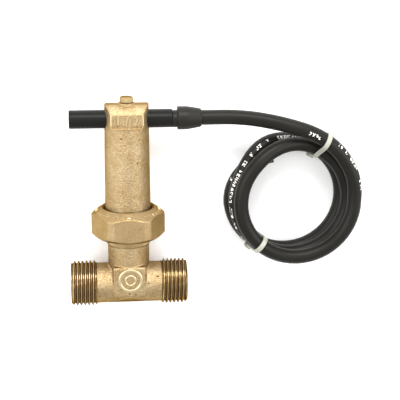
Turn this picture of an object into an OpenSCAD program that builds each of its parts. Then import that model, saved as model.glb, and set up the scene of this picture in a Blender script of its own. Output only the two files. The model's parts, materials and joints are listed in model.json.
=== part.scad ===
// Magnetic flow switch lying on its back: brass tee, union nut, bonnet and a clamped reed probe
// on a coiled cable. X runs along the pipe, Y from the tee to the bonnet's end, Z up.
// Each valve piece is written standing upright, on the pipe's axis, and laid down by laid().

/* [Tee] */
// Length of the tee between its two pipe ends
tee_length = 54; // [52:1:66]
// Outside diameter of the pipe threads
pipe_thread_d = 20.96; // [20:0.01:26]
// Length of each pipe thread, with its bevel
pipe_thread_length = 12; // [9:0.5:14]
// Bevel on the end of each pipe thread
pipe_bevel = 1.2; // [0.5:0.1:1.6]
// Outside diameter of the tee's run between the threads
run_d = 18.8; // [17:0.1:20]
// Diameter of the waterway, in the run and in the branch
waterway_d = 15; // [12:0.5:16]
// Outside diameter of the branch
branch_d = 19.1; // [18:0.1:20]
// Height of the branch's sealing face above the pipe's axis
branch_height = 31.1; // [26:0.1:38]
// Length of the union thread on the branch
union_thread_length = 7.9; // [6.5:0.1:9.5]
// Height of the turned collar under the union thread
collar_height = 3.4; // [2.5:0.1:4.5]
// How far the collar stands out from the branch
collar_step = 0.45; // [0.2:0.05:0.8]
// Distance of the front pad's face from the pipe's axis
pad_depth = 9.9; // [9.7:0.1:11]
// Width of the front pad
pad_width = 15.4; // [12:0.2:18]
// Height of the front pad
pad_height = 14.9; // [12:0.1:16]
// Outside diameter of the raised ring on the pad
ring_d = 11; // [8:0.2:12]

/* [Union nut] */
// Height of the nut
nut_height = 14.1; // [12:0.1:16.8]
// Wall between the nut's thread and its flats
nut_wall = 2.2; // [1.9:0.1:3]
// Thickness of the inward lip that holds the bonnet's flange
nut_lip = 2.45; // [1.8:0.05:3]
// How far the nut's corners stand out past its flats
nut_corner = 1.5; // [1:0.1:1.9]
// Height of the cone on the nut's top
nut_top_cone = 3.3; // [2:0.1:4]
// Height of the cone under the nut
nut_foot_cone = 1.9; // [1:0.1:2.5]

/* [Gasket] */
// Thickness of the flat gasket
gasket_thickness = 1.5; // [1:0.1:2]

/* [Bonnet] */
// Diameter of the bonnet just above its flange
bonnet_d = 20.9; // [19:0.1:26]
// How much narrower the bonnet is at its top
bonnet_draft = 1; // [0.2:0.1:1.4]
// Height of the bonnet from its sealing face to its flat top
bonnet_height = 52.4; // [50:0.1:64]
// How far the flange stands out past the bonnet
flange_rim = 1.45; // [1.2:0.05:1.8]
// Thickness of the flange
flange_thickness = 2; // [1.5:0.1:2.4]
// Diameter of the chamber that the lever swings in
chamber_d = 15; // [14.2:0.1:16]
// Wall between the chamber and the probe's bore
chamber_roof = 1.52; // [1.2:0.01:2.5]
// Distance of the cast panels from the bonnet's axis
panel_depth = 6.9; // [5.7:0.1:8]
// Height of the panels below the probe's axis
panel_drop = 3.6; // [3:0.1:5]
// Radius of the panels' lower corners
panel_corner = 1.9; // [1:0.1:2.5]
// Height of the boss under the clamp screw
boss_height = 0.6; // [0.4:0.1:1.5]
// Diameter of the boss under the clamp screw
boss_d = 7.6; // [6:0.1:9]

/* [Probe] */
// Outside diameter of the probe's tube
probe_d = 8.4; // [7:0.1:10]
// Wall of the probe's tube and of its closed end
probe_wall = 0.9; // [0.7:0.05:1.1]
// Length of the probe's tube
probe_length = 46.5; // [44:0.5:52]
// How far the tube reaches from the bonnet's axis on its closed side
probe_reach = 25.9; // [22:0.1:26.5]
// Diameter of the cable boot's flange
boot_d = 10.6; // [9.4:0.1:12]
// Length of the boot's flange
boot_flange = 4.4; // [3:0.1:6]
// Length of the boot's cone
boot_cone = 6.5; // [4:0.1:9]
// Length of the boot's narrow neck
boot_neck = 2.3; // [1.5:0.1:3]
// Diameter of the reed switch's glass
reed_d = 2.3; // [1.8:0.1:2.6]
// Length of the reed switch's glass
reed_length = 14; // [10:0.5:16]

/* [Clamp screw] */
// Outside diameter of the clamp screw's thread
screw_d = 4; // [3:0.5:5]
// Width across the flats of the clamp screw's head
screw_af = 6; // [5.5:0.1:8]
// Height of the clamp screw's head
screw_head = 2.6; // [2:0.1:4]

/* [Lever] */
// Height of the pivot pin above the bonnet's sealing face
pivot_height = 3.4; // [3.2:0.1:4.4]
// Thickness of the lever's strip
lever_thickness = 1.2; // [0.8:0.1:1.6]
// Width of the lever's strip
lever_width = 4.4; // [3.6:0.1:5]
// Diameter of the pivot pin
pin_d = 2; // [1.6:0.1:2.4]
// Thickness of the paddle's blade
blade_thickness = 0.5; // [0.3:0.1:0.8]
// Gap between the paddle's rim and the waterway
blade_clearance = 2.1; // [1.8:0.1:3]
// Diameter of the magnet
magnet_d = 4.8; // [4:0.1:5]
// Length of the magnet
magnet_length = 6.2; // [4:0.1:7]

/* [Cable] */
// Outside diameter of the cable
cable_d = 6.8; // [6.8:0.1:6.8]
// Radius of the coil's turns, along the middle of the cable
coil_r = 26.7; // [26.7:0.1:26.7]
// Width of the cable ties
tie_width = 2.2; // [1.8:0.1:3.6]
// Thickness of the cable ties
tie_thickness = 1; // [0.8:0.1:1]

/* [Hidden] */
$fn = 96;

// clearances: running for what turns or slides, seat for what is only held
running = 0.08;
seat = 0.02;
cut_over = 1;

// tee
pipe_r = pipe_thread_d / 2;
thread_start = tee_length / 2 - pipe_thread_length;
pad_middle = 2.95;
pad_corner = 1.2;
ring_middle = [0.4, 3.95];
ring_width = 0.9;
ring_relief = 0.35;
flange_r = bonnet_d / 2 + flange_rim;
union_step = 1.32;
union_r = flange_r + union_step;
union_start = branch_height - union_thread_length;
gasket_inset = [0.1, 0.2];

// stack of seats on the branch, measured from the pipe's axis
bonnet_base = branch_height + gasket_thickness;
flange_top = bonnet_base + flange_thickness;
nut_gap = 0.05;
nut_top = flange_top + nut_gap + nut_lip;
nut_bottom = nut_top - nut_height;
bonnet_top = bonnet_base + bonnet_height;

// nut
nut_bore_r = union_r + running;
nut_flat = nut_bore_r + nut_wall;
nut_corner_r = nut_flat + nut_corner;
nut_foot_land = 0.7;
nut_foot_r = nut_bore_r + nut_foot_land;
lip_gap = 0.75;
lip_bore_r = bonnet_d / 2 + lip_gap;
mouth_bevel = 0.8;
mouth_slope = 1.25;
lip_mouth_r = lip_bore_r + mouth_bevel * mouth_slope;

// bonnet's head, around the probe's axis
probe_r = probe_d / 2;
probe_bore_r = probe_r + running;
head_wall = 3.22;
head_r = probe_bore_r + head_wall;
head_flat = 0.6;
boss_root = 2;
probe_z = bonnet_top - head_r + head_flat;
chamber_r = chamber_d / 2;
chamber_top = probe_z - probe_bore_r - chamber_roof;

// clamp screw
screw_r = screw_d / 2;
screw_gap = 0.08;
screw_seat = bonnet_top + boss_height + screw_gap;
screw_top = screw_seat + screw_head;
tip_gap = 0.1;
tip_bottom = probe_z + probe_r + tip_gap;
tip_length = 1.4;
tip_r = screw_r - tip_gap;
// cone on the screw's head: how far its foot and top lie past the flats, and its height
head_cone = [1, -0.6, 0.9];

// where the valve lies: its middle at the origin, the nut's back flat on Z = 0
middle = (screw_top - pipe_r) / 2;
axis_height = nut_flat;

// lever
pivot_z = bonnet_base + pivot_height;
hub_wall = 1.2;
hub_r = pin_d / 2 + hub_wall;
hub_shoulder = 0.4;
hub_length = lever_width + 2 * hub_shoulder;
blade_r = waterway_d / 2 - blade_clearance;
blade_tab = 10;
rivet_heights = [3.2, 8.2];
rivet_r = 0.8;
rivet_head_r = 1.4;
rivet_head = 0.5;
lever_foot = 1;
cup_wall = 0.7;
cup_r = magnet_d / 2 + cup_wall;
cup_gap = 0.9;
cup_top = chamber_top - cup_gap;
cup_floor = 1.2;
magnet_sink = 0.2;
cup_bottom = cup_top - magnet_sink - magnet_length - cup_floor;
cup_socket = 3.6;
socket_wall = 0.5;
cup_socket_r = lever_width / 2 + socket_wall;

// pivot carrier and the spring on its pin
carrier_r = chamber_r - seat;
carrier_gap = 0.4;
carrier_bottom = bonnet_base + carrier_gap;
carrier_rise = 3.5;
carrier_top = pivot_z + carrier_rise;
carrier_slot = [5.2, 10.8];
pin_inset = 0.8;
pin_length = 2 * (carrier_r - pin_inset);
spring_step = 0.6;
spring_r = pin_d / 2 + spring_step;
wire_r = 0.22;
spring_play = 0.15;
spring_start = hub_length / 2 + spring_play;
spring_length = 1.9;
leg_x = 1.45;
leg_inset = 0.5;
leg_height = 7;
ear_height = [4, 5.2];
post_height = [5.8, 7];
post_width = 2;
post_root = 1;
post_wall = 1.2;
post_reach = 2.4;

// inside of the probe
tube_inner_r = probe_r - probe_wall;
tube_end = probe_length - probe_reach;
reed_r = reed_d / 2;
reed_middle = -2;
reed_side = -0.9;
glass_wall = 0.35;
glass_end = 1.2;
// width and thickness of the contacts, and how far one passes the other
contact = [0.8, 0.2];
contact_lap = 0.8;
contact_gap = 0.12;
core_side = 1.55;
core_r = 0.65;
lead_r = 0.28;
lead_length = 5;
link_slot = [0.9, 0.8];
plug_length = 5.6;
potting_end = tube_end - plug_length;
boot_start = tube_end + boot_neck;
boot_end = boot_start + boot_flange + boot_cone;
jacket_inset = 0.6;
jacket_start = boot_start + jacket_inset;
neck_step = 0.3;
neck_r = probe_r - neck_step;
boot_lip = 0.5;

// cable, on the table beside the valve: loop centres and the height of each layer
cable_r = cable_d / 2;
coil_centre = [77.3, -1.3];
layer_shift = 1.7;
layer_gap = 0.05;
layer_step = cable_d + layer_gap;
coil_bottom = tie_thickness;
layers = [coil_bottom + cable_r, coil_bottom + cable_r + layer_step,
    coil_bottom + cable_r + 2 * layer_step];
lead_route = [[24, 39.2, 15.5], [34, 39.2, 15.5], [47, 39.2, 15.6], [57, 38.4, 15.9],
    [66.5, 36.8, 16.5], [75.5, 34.6, 17.2], [84, 31.8, 17.8], [91.1, 28, 18.1],
    [96.5, 23.5, 18.1], [100.5, 18.5, 18.1], [104, 12, 18.1], [105.6, 5, 18.1],
    [105.7, -1.3, 18.1]];
lead_sides = 10;
steps_per_span = 2;
coil_bevel = 1.8;
tie_head = [3.2, 3.8, 4];

// Lays an upright valve piece on its back
module laid() {
    translate([0, -middle, axis_height]) rotate([-90, 0, 0]) children();
}

// Cylinder along X between two stations, centred on y and z
module bar_x(r, from, to, y = 0, z = 0) {
    translate([from, y, z]) rotate([0, 90, 0]) cylinder(r = r, h = to - from);
}

// Cylinder along Y between two stations, centred on x and z
module bar_y(r, from, to, x = 0, z = 0) {
    translate([x, from, z]) rotate([-90, 0, 0]) cylinder(r = r, h = to - from);
}

// Solid of revolution about Z from [radius, height] points
module turned(points) {
    rotate_extrude() polygon(points);
}

// Pipe end along +X: the threaded stretch with its bevel
module pipe_end() {
    rotate([0, 90, 0]) turned([[0, thread_start], [pipe_r, thread_start],
        [pipe_r, tee_length / 2 - pipe_bevel], [pipe_r - pipe_bevel, tee_length / 2],
        [0, tee_length / 2]]);
}

// Rectangle in X and Z with rounded corners, as a plate along Y
module pad_plate(w, h, corner, from, to) {
    translate([0, to, 0]) rotate([90, 0, 0]) linear_extrude(to - from) {
        square([w - 2 * corner, h], center = true);
        square([w, h - 2 * corner], center = true);
        for (x = [-1, 1], z = [-1, 1])
            translate([x * (w / 2 - corner), z * (h / 2 - corner)]) circle(corner);
    }
}

module tee_body() {
    color("darkkhaki") laid() difference() {
        union() {
            bar_x(run_d / 2, -thread_start, thread_start);
            pipe_end();
            mirror([1, 0, 0]) pipe_end();
            cylinder(r = branch_d / 2, h = union_start);
            translate([0, 0, union_start - collar_height])
                cylinder(r = branch_d / 2 + collar_step, h = collar_height);
            translate([0, 0, union_start])
                cylinder(r = union_r, h = union_thread_length);
            translate([0, 0, pad_middle])
                pad_plate(pad_width, pad_height, pad_corner, -pad_depth, pad_depth);
            translate([ring_middle[0], 0, ring_middle[1]]) difference() {
                bar_y(ring_d / 2, -pad_depth - ring_relief, 0);
                bar_y(ring_d / 2 - ring_width, -pad_depth - cut_over, -pad_depth);
            }
        }
        bar_x(waterway_d / 2, -tee_length / 2 - cut_over, tee_length / 2 + cut_over);
        cylinder(r = waterway_d / 2, h = branch_height + cut_over);
    }
}

module flat_gasket() {
    color("dimgray") laid() translate([0, 0, branch_height]) difference() {
        cylinder(r = flange_r - gasket_inset[0], h = gasket_thickness);
        translate([0, 0, -cut_over])
            cylinder(r = chamber_r + gasket_inset[1], h = gasket_thickness + 2 * cut_over);
    }
}

// Hexagon with its corners cut flat, flats facing front and back
module nut_outline() {
    intersection() {
        circle(r = nut_flat / cos(30), $fn = 6);
        rotate(30) circle(r = nut_corner_r / cos(30), $fn = 6);
    }
}

module union_nut() {
    color("tan") laid() difference() {
        intersection() {
            translate([0, 0, nut_bottom]) linear_extrude(nut_height) nut_outline();
            turned([[0, nut_bottom], [nut_foot_r, nut_bottom],
                [nut_corner_r, nut_bottom + nut_foot_cone],
                [nut_corner_r + cut_over, nut_bottom + nut_foot_cone],
                [nut_corner_r + cut_over, nut_top - nut_top_cone],
                [nut_corner_r, nut_top - nut_top_cone], [lip_mouth_r, nut_top], [0, nut_top]]);
        }
        turned([[0, nut_bottom - cut_over], [nut_bore_r, nut_bottom - cut_over],
            [nut_bore_r, flange_top + nut_gap], [lip_bore_r, flange_top + nut_gap],
            [lip_bore_r, nut_top - mouth_bevel],
            [lip_mouth_r + cut_over * mouth_slope, nut_top + cut_over], [0, nut_top + cut_over]]);
    }
}

// Radius of the drafted bonnet at a height
function bonnet_r(z) = (bonnet_d - bonnet_draft * (z - flange_top) / (bonnet_top - flange_top)) / 2;

// Space in front of a cast panel, with rounded lower corners
module panel_space() {
    foot = probe_z - panel_drop;
    half = sqrt(pow(bonnet_r(probe_z), 2) - pow(panel_depth, 2));
    rise = bonnet_top + cut_over - foot;
    translate([0, -panel_depth, 0]) rotate([90, 0, 0]) linear_extrude(bonnet_d / 2) {
        translate([-half, foot + panel_corner])
            square([2 * half, rise - panel_corner]);
        translate([-half + panel_corner, foot])
            square([2 * (half - panel_corner), rise]);
        for (x = [-1, 1])
            translate([x * (half - panel_corner), foot + panel_corner]) circle(panel_corner);
    }
}

// Space above the barrel-shaped head
module head_space() {
    difference() {
        translate([-bonnet_d, -bonnet_d, probe_z])
            cube([2 * bonnet_d, 2 * bonnet_d, bonnet_top - probe_z + boss_height + cut_over]);
        bar_x(head_r, -bonnet_d - cut_over, bonnet_d + cut_over, 0, probe_z);
    }
}

module bonnet() {
    color("burlywood") laid() difference() {
        union() {
            difference() {
                turned([[0, bonnet_base], [flange_r, bonnet_base], [flange_r, flange_top],
                    [bonnet_d / 2, flange_top], [bonnet_r(bonnet_top), bonnet_top],
                    [0, bonnet_top]]);
                head_space();
                panel_space();
                mirror([0, 1, 0]) panel_space();
            }
            translate([0, 0, bonnet_top - boss_root])
                cylinder(r = boss_d / 2, h = boss_root + boss_height);
        }
        translate([0, 0, bonnet_base - cut_over])
            cylinder(r = chamber_r, h = chamber_top - bonnet_base + cut_over);
        bar_x(probe_bore_r, -bonnet_d, bonnet_d, 0, probe_z);
        translate([0, 0, probe_z]) cylinder(r = screw_r + running, h = bonnet_top);
    }
}

// Plastic ring that holds the pivot pin and the spring's post
module pivot_carrier() {
    color("whitesmoke") laid() difference() {
        union() {
            difference() {
                translate([0, 0, carrier_bottom])
                    cylinder(r = carrier_r, h = carrier_top - carrier_bottom);
                translate([-carrier_slot[0] / 2, -carrier_slot[1] / 2, carrier_bottom - cut_over])
                    cube([carrier_slot[0], carrier_slot[1], carrier_top]);
            }
            translate([-post_width / 2, -carrier_slot[1] / 2 - post_root, carrier_top - cut_over])
                cube([post_width, post_wall, pivot_z + post_height[1] - carrier_top + cut_over]);
            translate([-post_width / 2, -carrier_slot[1] / 2, pivot_z + post_height[0]])
                cube([post_width, post_reach, post_height[1] - post_height[0]]);
        }
        bar_y(pin_d / 2 + seat, -chamber_r, chamber_r, 0, pivot_z);
    }
}

module pivot_pin() {
    color("silver") laid() bar_y(pin_d / 2, -pin_length / 2, pin_length / 2, 0, pivot_z);
}

// Spring with two legs that straddle the lever's ear and the carrier's post
module return_spring() {
    color("slategray") laid() translate([0, 0, pivot_z]) {
        difference() {
            bar_y(spring_r + wire_r, -spring_start - spring_length, -spring_start);
            bar_y(spring_r - wire_r, -spring_start - spring_length - cut_over, cut_over);
        }
        translate([-leg_x, -spring_start - leg_inset, 0]) cylinder(r = wire_r, h = leg_height);
        translate([leg_x, -spring_start - spring_length + leg_inset, 0])
            cylinder(r = wire_r, h = leg_height);
    }
}

module lever_arm() {
    strip_top = cup_bottom;
    ear_reach = spring_start + spring_length;
    color("lightsteelblue") laid() difference() {
        union() {
            translate([-lever_thickness / 2, -lever_width / 2, lever_foot])
                cube([lever_thickness, lever_width, strip_top - lever_foot]);
            bar_y(hub_r, -hub_length / 2, hub_length / 2, 0, pivot_z);
            translate([-lever_thickness / 2, -ear_reach, pivot_z + ear_height[0]])
                cube([lever_thickness, ear_reach, ear_height[1] - ear_height[0]]);
        }
        bar_y(pin_d / 2 + running, -chamber_r, chamber_r, 0, pivot_z);
        for (z = rivet_heights) bar_x(rivet_r + seat, -chamber_r, chamber_r, 0, z);
    }
}

module paddle_blade() {
    side = lever_thickness / 2;
    color("gainsboro") laid() difference() {
        union() {
            bar_x(blade_r, side, side + blade_thickness);
            translate([side, -lever_width / 2, 0]) cube([blade_thickness, lever_width, blade_tab]);
        }
        for (z = rivet_heights) bar_x(rivet_r + seat, -chamber_r, chamber_r, 0, z);
    }
}

// Two rivets that hold the blade on the lever
module blade_rivets() {
    side = lever_thickness / 2;
    color("darkgray") laid() for (z = rivet_heights) {
        bar_x(rivet_head_r, -side - rivet_head, -side, 0, z);
        bar_x(rivet_r, -side - rivet_head / 2, side + blade_thickness + rivet_head / 2, 0, z);
        bar_x(rivet_head_r, side + blade_thickness, side + blade_thickness + rivet_head, 0, z);
    }
}

module magnet_cup() {
    color("ivory") laid() difference() {
        union() {
            translate([0, 0, cup_bottom]) cylinder(r = cup_r, h = cup_top - cup_bottom);
            translate([0, 0, cup_bottom - cup_socket])
                cylinder(r = cup_socket_r, h = cup_socket + cut_over);
        }
        translate([0, 0, cup_bottom + cup_floor])
            cylinder(r = magnet_d / 2 + seat, h = cup_top);
        translate([-lever_thickness / 2 - seat, -lever_width / 2 - seat, 0])
            cube([lever_thickness + 2 * seat, lever_width + 2 * seat, cup_bottom]);
    }
}

module magnet() {
    color("dimgray") laid() translate([0, 0, cup_bottom + cup_floor])
        cylinder(r = magnet_d / 2, h = magnet_length);
}

// Nylon tip under the screw, which presses on the probe without marking it
module screw_tip() {
    color("ivory") laid() translate([0, 0, tip_bottom]) cylinder(r = tip_r, h = tip_length);
}

module clamp_screw() {
    shank_bottom = tip_bottom + tip_length;
    color("gold") laid() {
        translate([0, 0, shank_bottom]) cylinder(r = screw_r, h = screw_seat - shank_bottom);
        translate([0, 0, screw_seat]) intersection() {
            rotate(30) cylinder(r = screw_af / 2 / cos(30), h = screw_head, $fn = 6);
            turned([[0, 0], [screw_af / 2 + head_cone[0], 0],
                [screw_af / 2 + head_cone[0], screw_head - head_cone[2]],
                [screw_af / 2 + head_cone[1], screw_head], [0, screw_head]]);
        }
    }
}

module probe_tube() {
    color("darkslategray") laid() difference() {
        bar_x(probe_r, -probe_reach, tube_end, 0, probe_z);
        bar_x(tube_inner_r, -probe_reach + probe_wall, tube_end + cut_over, 0, probe_z);
    }
}

module reed_capsule() {
    half = reed_length / 2;
    color("lightcyan") laid() difference() {
        bar_x(reed_r, reed_middle - half, reed_middle + half, reed_side, probe_z);
        bar_x(reed_r - glass_wall, reed_middle - half + glass_end, reed_middle + half - glass_end,
            reed_side, probe_z);
        bar_x(lead_r + seat, reed_middle - half - cut_over, reed_middle + half + cut_over,
            reed_side, probe_z);
    }
}

// Reed contact: a round lead outside the glass and a flat blade inside it
module reed_contact(height) {
    half = reed_length / 2;
    blade_start = -half + glass_end + contact[1];
    bar_x(lead_r, -half - lead_length, blade_start + contact[1], reed_side, 0);
    translate([blade_start, reed_side - contact[0] / 2, height - contact[1] / 2])
        cube([contact_lap - blade_start, contact[0], contact[1]]);
}

module reed_blades() {
    color("silver") laid() translate([reed_middle, 0, probe_z]) {
        reed_contact(-contact_gap);
        translate([-reed_length / 2 - lead_length + lead_r, 0, 0])
            bar_y(lead_r, reed_side, core_side);
        mirror([1, 0, 0]) reed_contact(contact_gap);
    }
}

module core_brown() {
    color("sienna") laid() bar_x(core_r, reed_middle + reed_length / 2 + lead_length,
        jacket_start, reed_side, probe_z);
}

module core_blue() {
    color("royalblue") laid() bar_x(core_r, reed_middle - reed_length / 2 - lead_length + 2 * lead_r,
        jacket_start, core_side, probe_z);
}

// Spaces that the reed switch and its cores take in the potting and in the boot's plug
module probe_cores(gap) {
    half = reed_length / 2;
    from = reed_middle - half - lead_length - gap;
    bar_x(core_r + gap, reed_middle + half + lead_length - gap, boot_end, reed_side, probe_z);
    bar_x(core_r + gap, from, boot_end, core_side, probe_z);
    bar_x(reed_r + gap, reed_middle - half - gap, reed_middle + half + gap, reed_side, probe_z);
    bar_x(lead_r + gap, from, reed_middle + half + lead_length + gap, reed_side, probe_z);
    translate([from, reed_side - link_slot[1] / 2, probe_z - link_slot[1] / 2])
        cube([link_slot[0], core_side - reed_side, link_slot[1]]);
}

module potting() {
    color("black") laid() difference() {
        bar_x(tube_inner_r - seat, -probe_reach + probe_wall, potting_end, 0, probe_z);
        probe_cores(seat);
    }
}

module cable_boot() {
    color("dimgray") laid() difference() {
        union() {
            bar_x(tube_inner_r - seat, potting_end, tube_end + cut_over, 0, probe_z);
            bar_x(neck_r, tube_end, boot_start, 0, probe_z - probe_r + neck_r);
            bar_x(boot_d / 2, boot_start, boot_start + boot_flange, 0, probe_z);
            translate([boot_start + boot_flange, 0, probe_z]) rotate([0, 90, 0])
                cylinder(r1 = boot_d / 2, r2 = cable_r + boot_lip, h = boot_cone);
        }
        probe_cores(seat);
        bar_x(cable_r + seat, jacket_start, boot_end + cut_over, 0, probe_z);
    }
}

// Point on the smooth curve through four route points, at u between the middle two
function curve_point(a, b, c, d, u) = (2 * b + (c - a) * u + (2 * a - 5 * b + 4 * c - d) * u * u
    + (3 * b - a - 3 * c + d) * u * u * u) / 2;

// Smooth route through the points, each span cut in equal steps
function smooth_route(p, steps) = [for (i = [0 : len(p) - 2], s = [0 : steps - 1])
    curve_point(p[max(i - 1, 0)], p[i], p[i + 1], p[min(i + 2, len(p) - 1)], s / steps),
    p[len(p) - 1]];

// Tube swept along a route, closed at both ends
module swept_tube(path, r, sides) {
    last = len(path) - 1;
    function heading(i) = path[min(i + 1, last)] - path[max(i - 1, 0)];
    function across(i) = let (h = heading(i)) [-h[1], h[0], 0] / norm([h[0], h[1]]);
    function above(i) = let (u = cross(heading(i), across(i))) u / norm(u);
    rim = [for (i = [0 : last], k = [0 : sides - 1])
        path[i] + r * (across(i) * cos(360 * k / sides) + above(i) * sin(360 * k / sides))];
    walls = [for (i = [0 : last - 1], k = [0 : sides - 1])
        let (n = (k + 1) % sides, a = i * sides, b = a + sides) [a + k, a + n, b + n, b + k]];
    start_cap = [[for (k = [sides - 1 : -1 : 0]) k]];
    end_cap = [[for (k = [0 : sides - 1]) last * sides + k]];
    polyhedron(rim, concat(start_cap, walls, end_cap), convexity = 6);
}

module cable_lead() {
    color("darkslategray") swept_tube(smooth_route(lead_route, steps_per_span), cable_r, lead_sides);
}

// Outer shape of the coil: three turns, one above the other, each a little to one side
module cable_coil() {
    inside = coil_r - layer_shift - cable_r;
    outside = coil_r + layer_shift + cable_r;
    top = layers[2] + cable_r;
    color("darkslategray") translate([coil_centre[0], coil_centre[1], 0])
        turned([[inside, coil_bottom + coil_bevel], [inside + coil_bevel, coil_bottom],
            [outside - coil_bevel, coil_bottom], [outside, coil_bottom + coil_bevel],
            [outside, top - coil_bevel], [outside - coil_bevel, top], [inside + coil_bevel, top],
            [inside, top - coil_bevel]]);
}

// Bar with round ends between two points of a plane
module capsule(a, b, r) {
    span = b - a;
    translate(a) circle(r);
    translate(b) circle(r);
    translate(a) rotate(atan2(span[1], span[0])) translate([0, -r]) square([norm(span), 2 * r]);
}

// Tie around a row of strands at an angle of the coil, given as the [radius, height] of the
// strands where the row ends or bends. Its head is on the lowest strand, on the coil's inner
// side (-1) or its outer side (1)
module cable_tie(angle, strands, side) {
    reach = cable_r + tie_thickness / 3 + tie_head[0] / 2;
    color("beige") translate([coil_centre[0], coil_centre[1], 0]) rotate(angle)
        translate([0, tie_width / 2, 0]) rotate([90, 0, 0]) {
            linear_extrude(tie_width) difference() {
                for (i = [1 : len(strands) - 1])
                    capsule(strands[i - 1], strands[i], cable_r + tie_thickness);
                for (i = [1 : len(strands) - 1])
                    capsule(strands[i - 1], strands[i], cable_r);
            }
            translate([strands[0][0] + side * reach, layers[0], tie_width / 2])
                cube(tie_head, center = true);
        }
}

module tie_upper() {
    cable_tie(64, [[25.9, layers[0]], [26.7, layers[1]], [32, layers[2]]], -1);
}

module tie_lower() {
    cable_tie(-128, [[27.7, layers[0]], [25.5, layers[2]]], 1);
}

tee_body();
flat_gasket();
union_nut();
bonnet();
pivot_carrier();
pivot_pin();
return_spring();
lever_arm();
paddle_blade();
blade_rivets();
magnet_cup();
magnet();
screw_tip();
clamp_screw();
probe_tube();
reed_capsule();
reed_blades();
core_brown();
core_blue();
potting();
cable_boot();
cable_lead();
cable_coil();
tie_upper();
tie_lower();
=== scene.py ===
"""Magnetic flow switch lying on its back, with its cable in a coil beside it.

Settings and meshes are in metres. Outlines and the sizes in capitals are in millimetres. Valve
pieces are drawn standing upright on the pipe's axis, as (x, depth, height), and laid() lays them
on the table.
"""

import json
import math

import bmesh
import bpy
from mathutils import Matrix, Vector
from mathutils.geometry import convex_hull_2d
from mathutils.kdtree import KDTree


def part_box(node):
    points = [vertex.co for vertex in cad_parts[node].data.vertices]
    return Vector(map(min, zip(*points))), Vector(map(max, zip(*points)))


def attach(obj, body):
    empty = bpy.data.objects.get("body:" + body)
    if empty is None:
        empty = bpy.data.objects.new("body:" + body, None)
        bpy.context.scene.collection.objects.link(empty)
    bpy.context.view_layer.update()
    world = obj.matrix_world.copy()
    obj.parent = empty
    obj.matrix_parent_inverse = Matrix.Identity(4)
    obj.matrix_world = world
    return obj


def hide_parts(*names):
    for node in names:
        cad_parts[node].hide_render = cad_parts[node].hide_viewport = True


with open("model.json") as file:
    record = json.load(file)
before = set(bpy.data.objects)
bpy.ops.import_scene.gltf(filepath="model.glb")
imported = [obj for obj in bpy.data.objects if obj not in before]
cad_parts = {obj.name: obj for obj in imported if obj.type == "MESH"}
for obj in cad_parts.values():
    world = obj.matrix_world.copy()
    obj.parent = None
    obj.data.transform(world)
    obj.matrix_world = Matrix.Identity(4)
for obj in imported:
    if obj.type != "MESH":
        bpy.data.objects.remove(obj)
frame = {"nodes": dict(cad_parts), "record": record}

bl_info = {
    "name": "Flow Switch Builder",
    "version": (1, 0, 0),
    "blender": (4, 5, 0),
    "location": "3D View > Sidebar > Flow Switch",
    "description": "Builds the visible pieces of a brass flow switch around its CAD frame",
    "category": "Add Mesh",
}

MM = 0.001
MOUNTS = {m["name"]: m for m in frame["record"]["mounts"]}
# the pipe's axis, from the middle between the two thread mounts
PIPE_AXIS = (
    Vector(MOUNTS["inlet_thread"]["pos_m"]) + Vector(MOUNTS["outlet_thread"]["pos_m"])
) / 2


# ---------------------------------------------------------------- places and sizes


def laid(x, depth, height):
    """Row point of an upright valve point in millimetres; depth is positive towards the back."""
    return PIPE_AXIS + Vector((x, height, -depth)) * MM


def on_pipe(radius, angle, along):
    """Point around the pipe's axis; the angle starts at the top and turns towards the back."""
    return laid(along, radius * math.sin(angle), radius * math.cos(angle))


def on_stem(radius, angle, height):
    """Point around the branch's axis; the angle starts at +X and turns towards the back."""
    return laid(radius * math.cos(angle), radius * math.sin(angle), height)


def heights(node):
    """Lowest and highest upright height of a CAD node, in millimetres."""
    low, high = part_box(node)
    return (low.y - PIPE_AXIS.y) / MM, (high.y - PIPE_AXIS.y) / MM


def widths(node):
    """Lowest and highest x of a CAD node, in millimetres."""
    low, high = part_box(node)
    return low.x / MM, high.x / MM


def half_height(node):
    """Half the height of a CAD node, in millimetres."""
    low, high = heights(node)
    return (high - low) / 2


def upright(point):
    """Upright x, depth and height of a row point in millimetres: the reverse of laid()."""
    return point.x / MM, (PIPE_AXIS.z - point.z) / MM, (point.y - PIPE_AXIS.y) / MM


# upright height of the probe's middle line
PROBE_UP = sum(heights("probe_tube")) / 2


def on_probe(radius, angle, along, rise=0.0):
    """Point around the probe's axis; the angle starts at the top and turns towards the back."""
    return laid(along, radius * math.sin(angle), PROBE_UP + rise + radius * math.cos(angle))


def soft_min(values, blend):
    """Smallest of the values, rounded over about the blend where two of them meet."""
    least = min(values)
    return least - blend * math.log(sum(math.exp((least - v) / blend) for v in values))


def smooth(t):
    """Smooth step from 0 to 1."""
    t = min(max(t, 0.0), 1.0)
    return t * t * (3 - 2 * t)


def steps(start, end, size):
    """Evenly spaced values from start to end, about size apart, both ends included."""
    count = max(1, round(abs(end - start) / size))
    return [start + (end - start) * i / count for i in range(count + 1)]


def track(stops, at):
    """Value at a place between given (place, value) stops."""
    for (a, low), (b, high) in zip(stops, stops[1:]):
        if at <= b:
            return low + (high - low) * smooth((at - a) / (b - a))
    return stops[-1][1]


# ---------------------------------------------------------------- settings


def srgb(text):
    """Linear colour with alpha from an sRGB hex value."""
    parts = [int(text[i : i + 2], 16) / 255 for i in (1, 3, 5)]
    return tuple(
        c / 12.92 if c <= 0.04045 else ((c + 0.055) / 1.055) ** 2.4 for c in parts
    ) + (1.0,)


def length(name, description, mm):
    """Length property that holds metres."""
    return bpy.props.FloatProperty(
        name=name, description=description, default=mm * MM, unit="LENGTH", precision=5
    )


def colour(name, description, text):
    """Colour property from an sRGB hex value."""
    return bpy.props.FloatVectorProperty(
        name=name, description=description, subtype="COLOR", size=4, min=0, max=1,
        default=srgb(text),
    )


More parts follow.
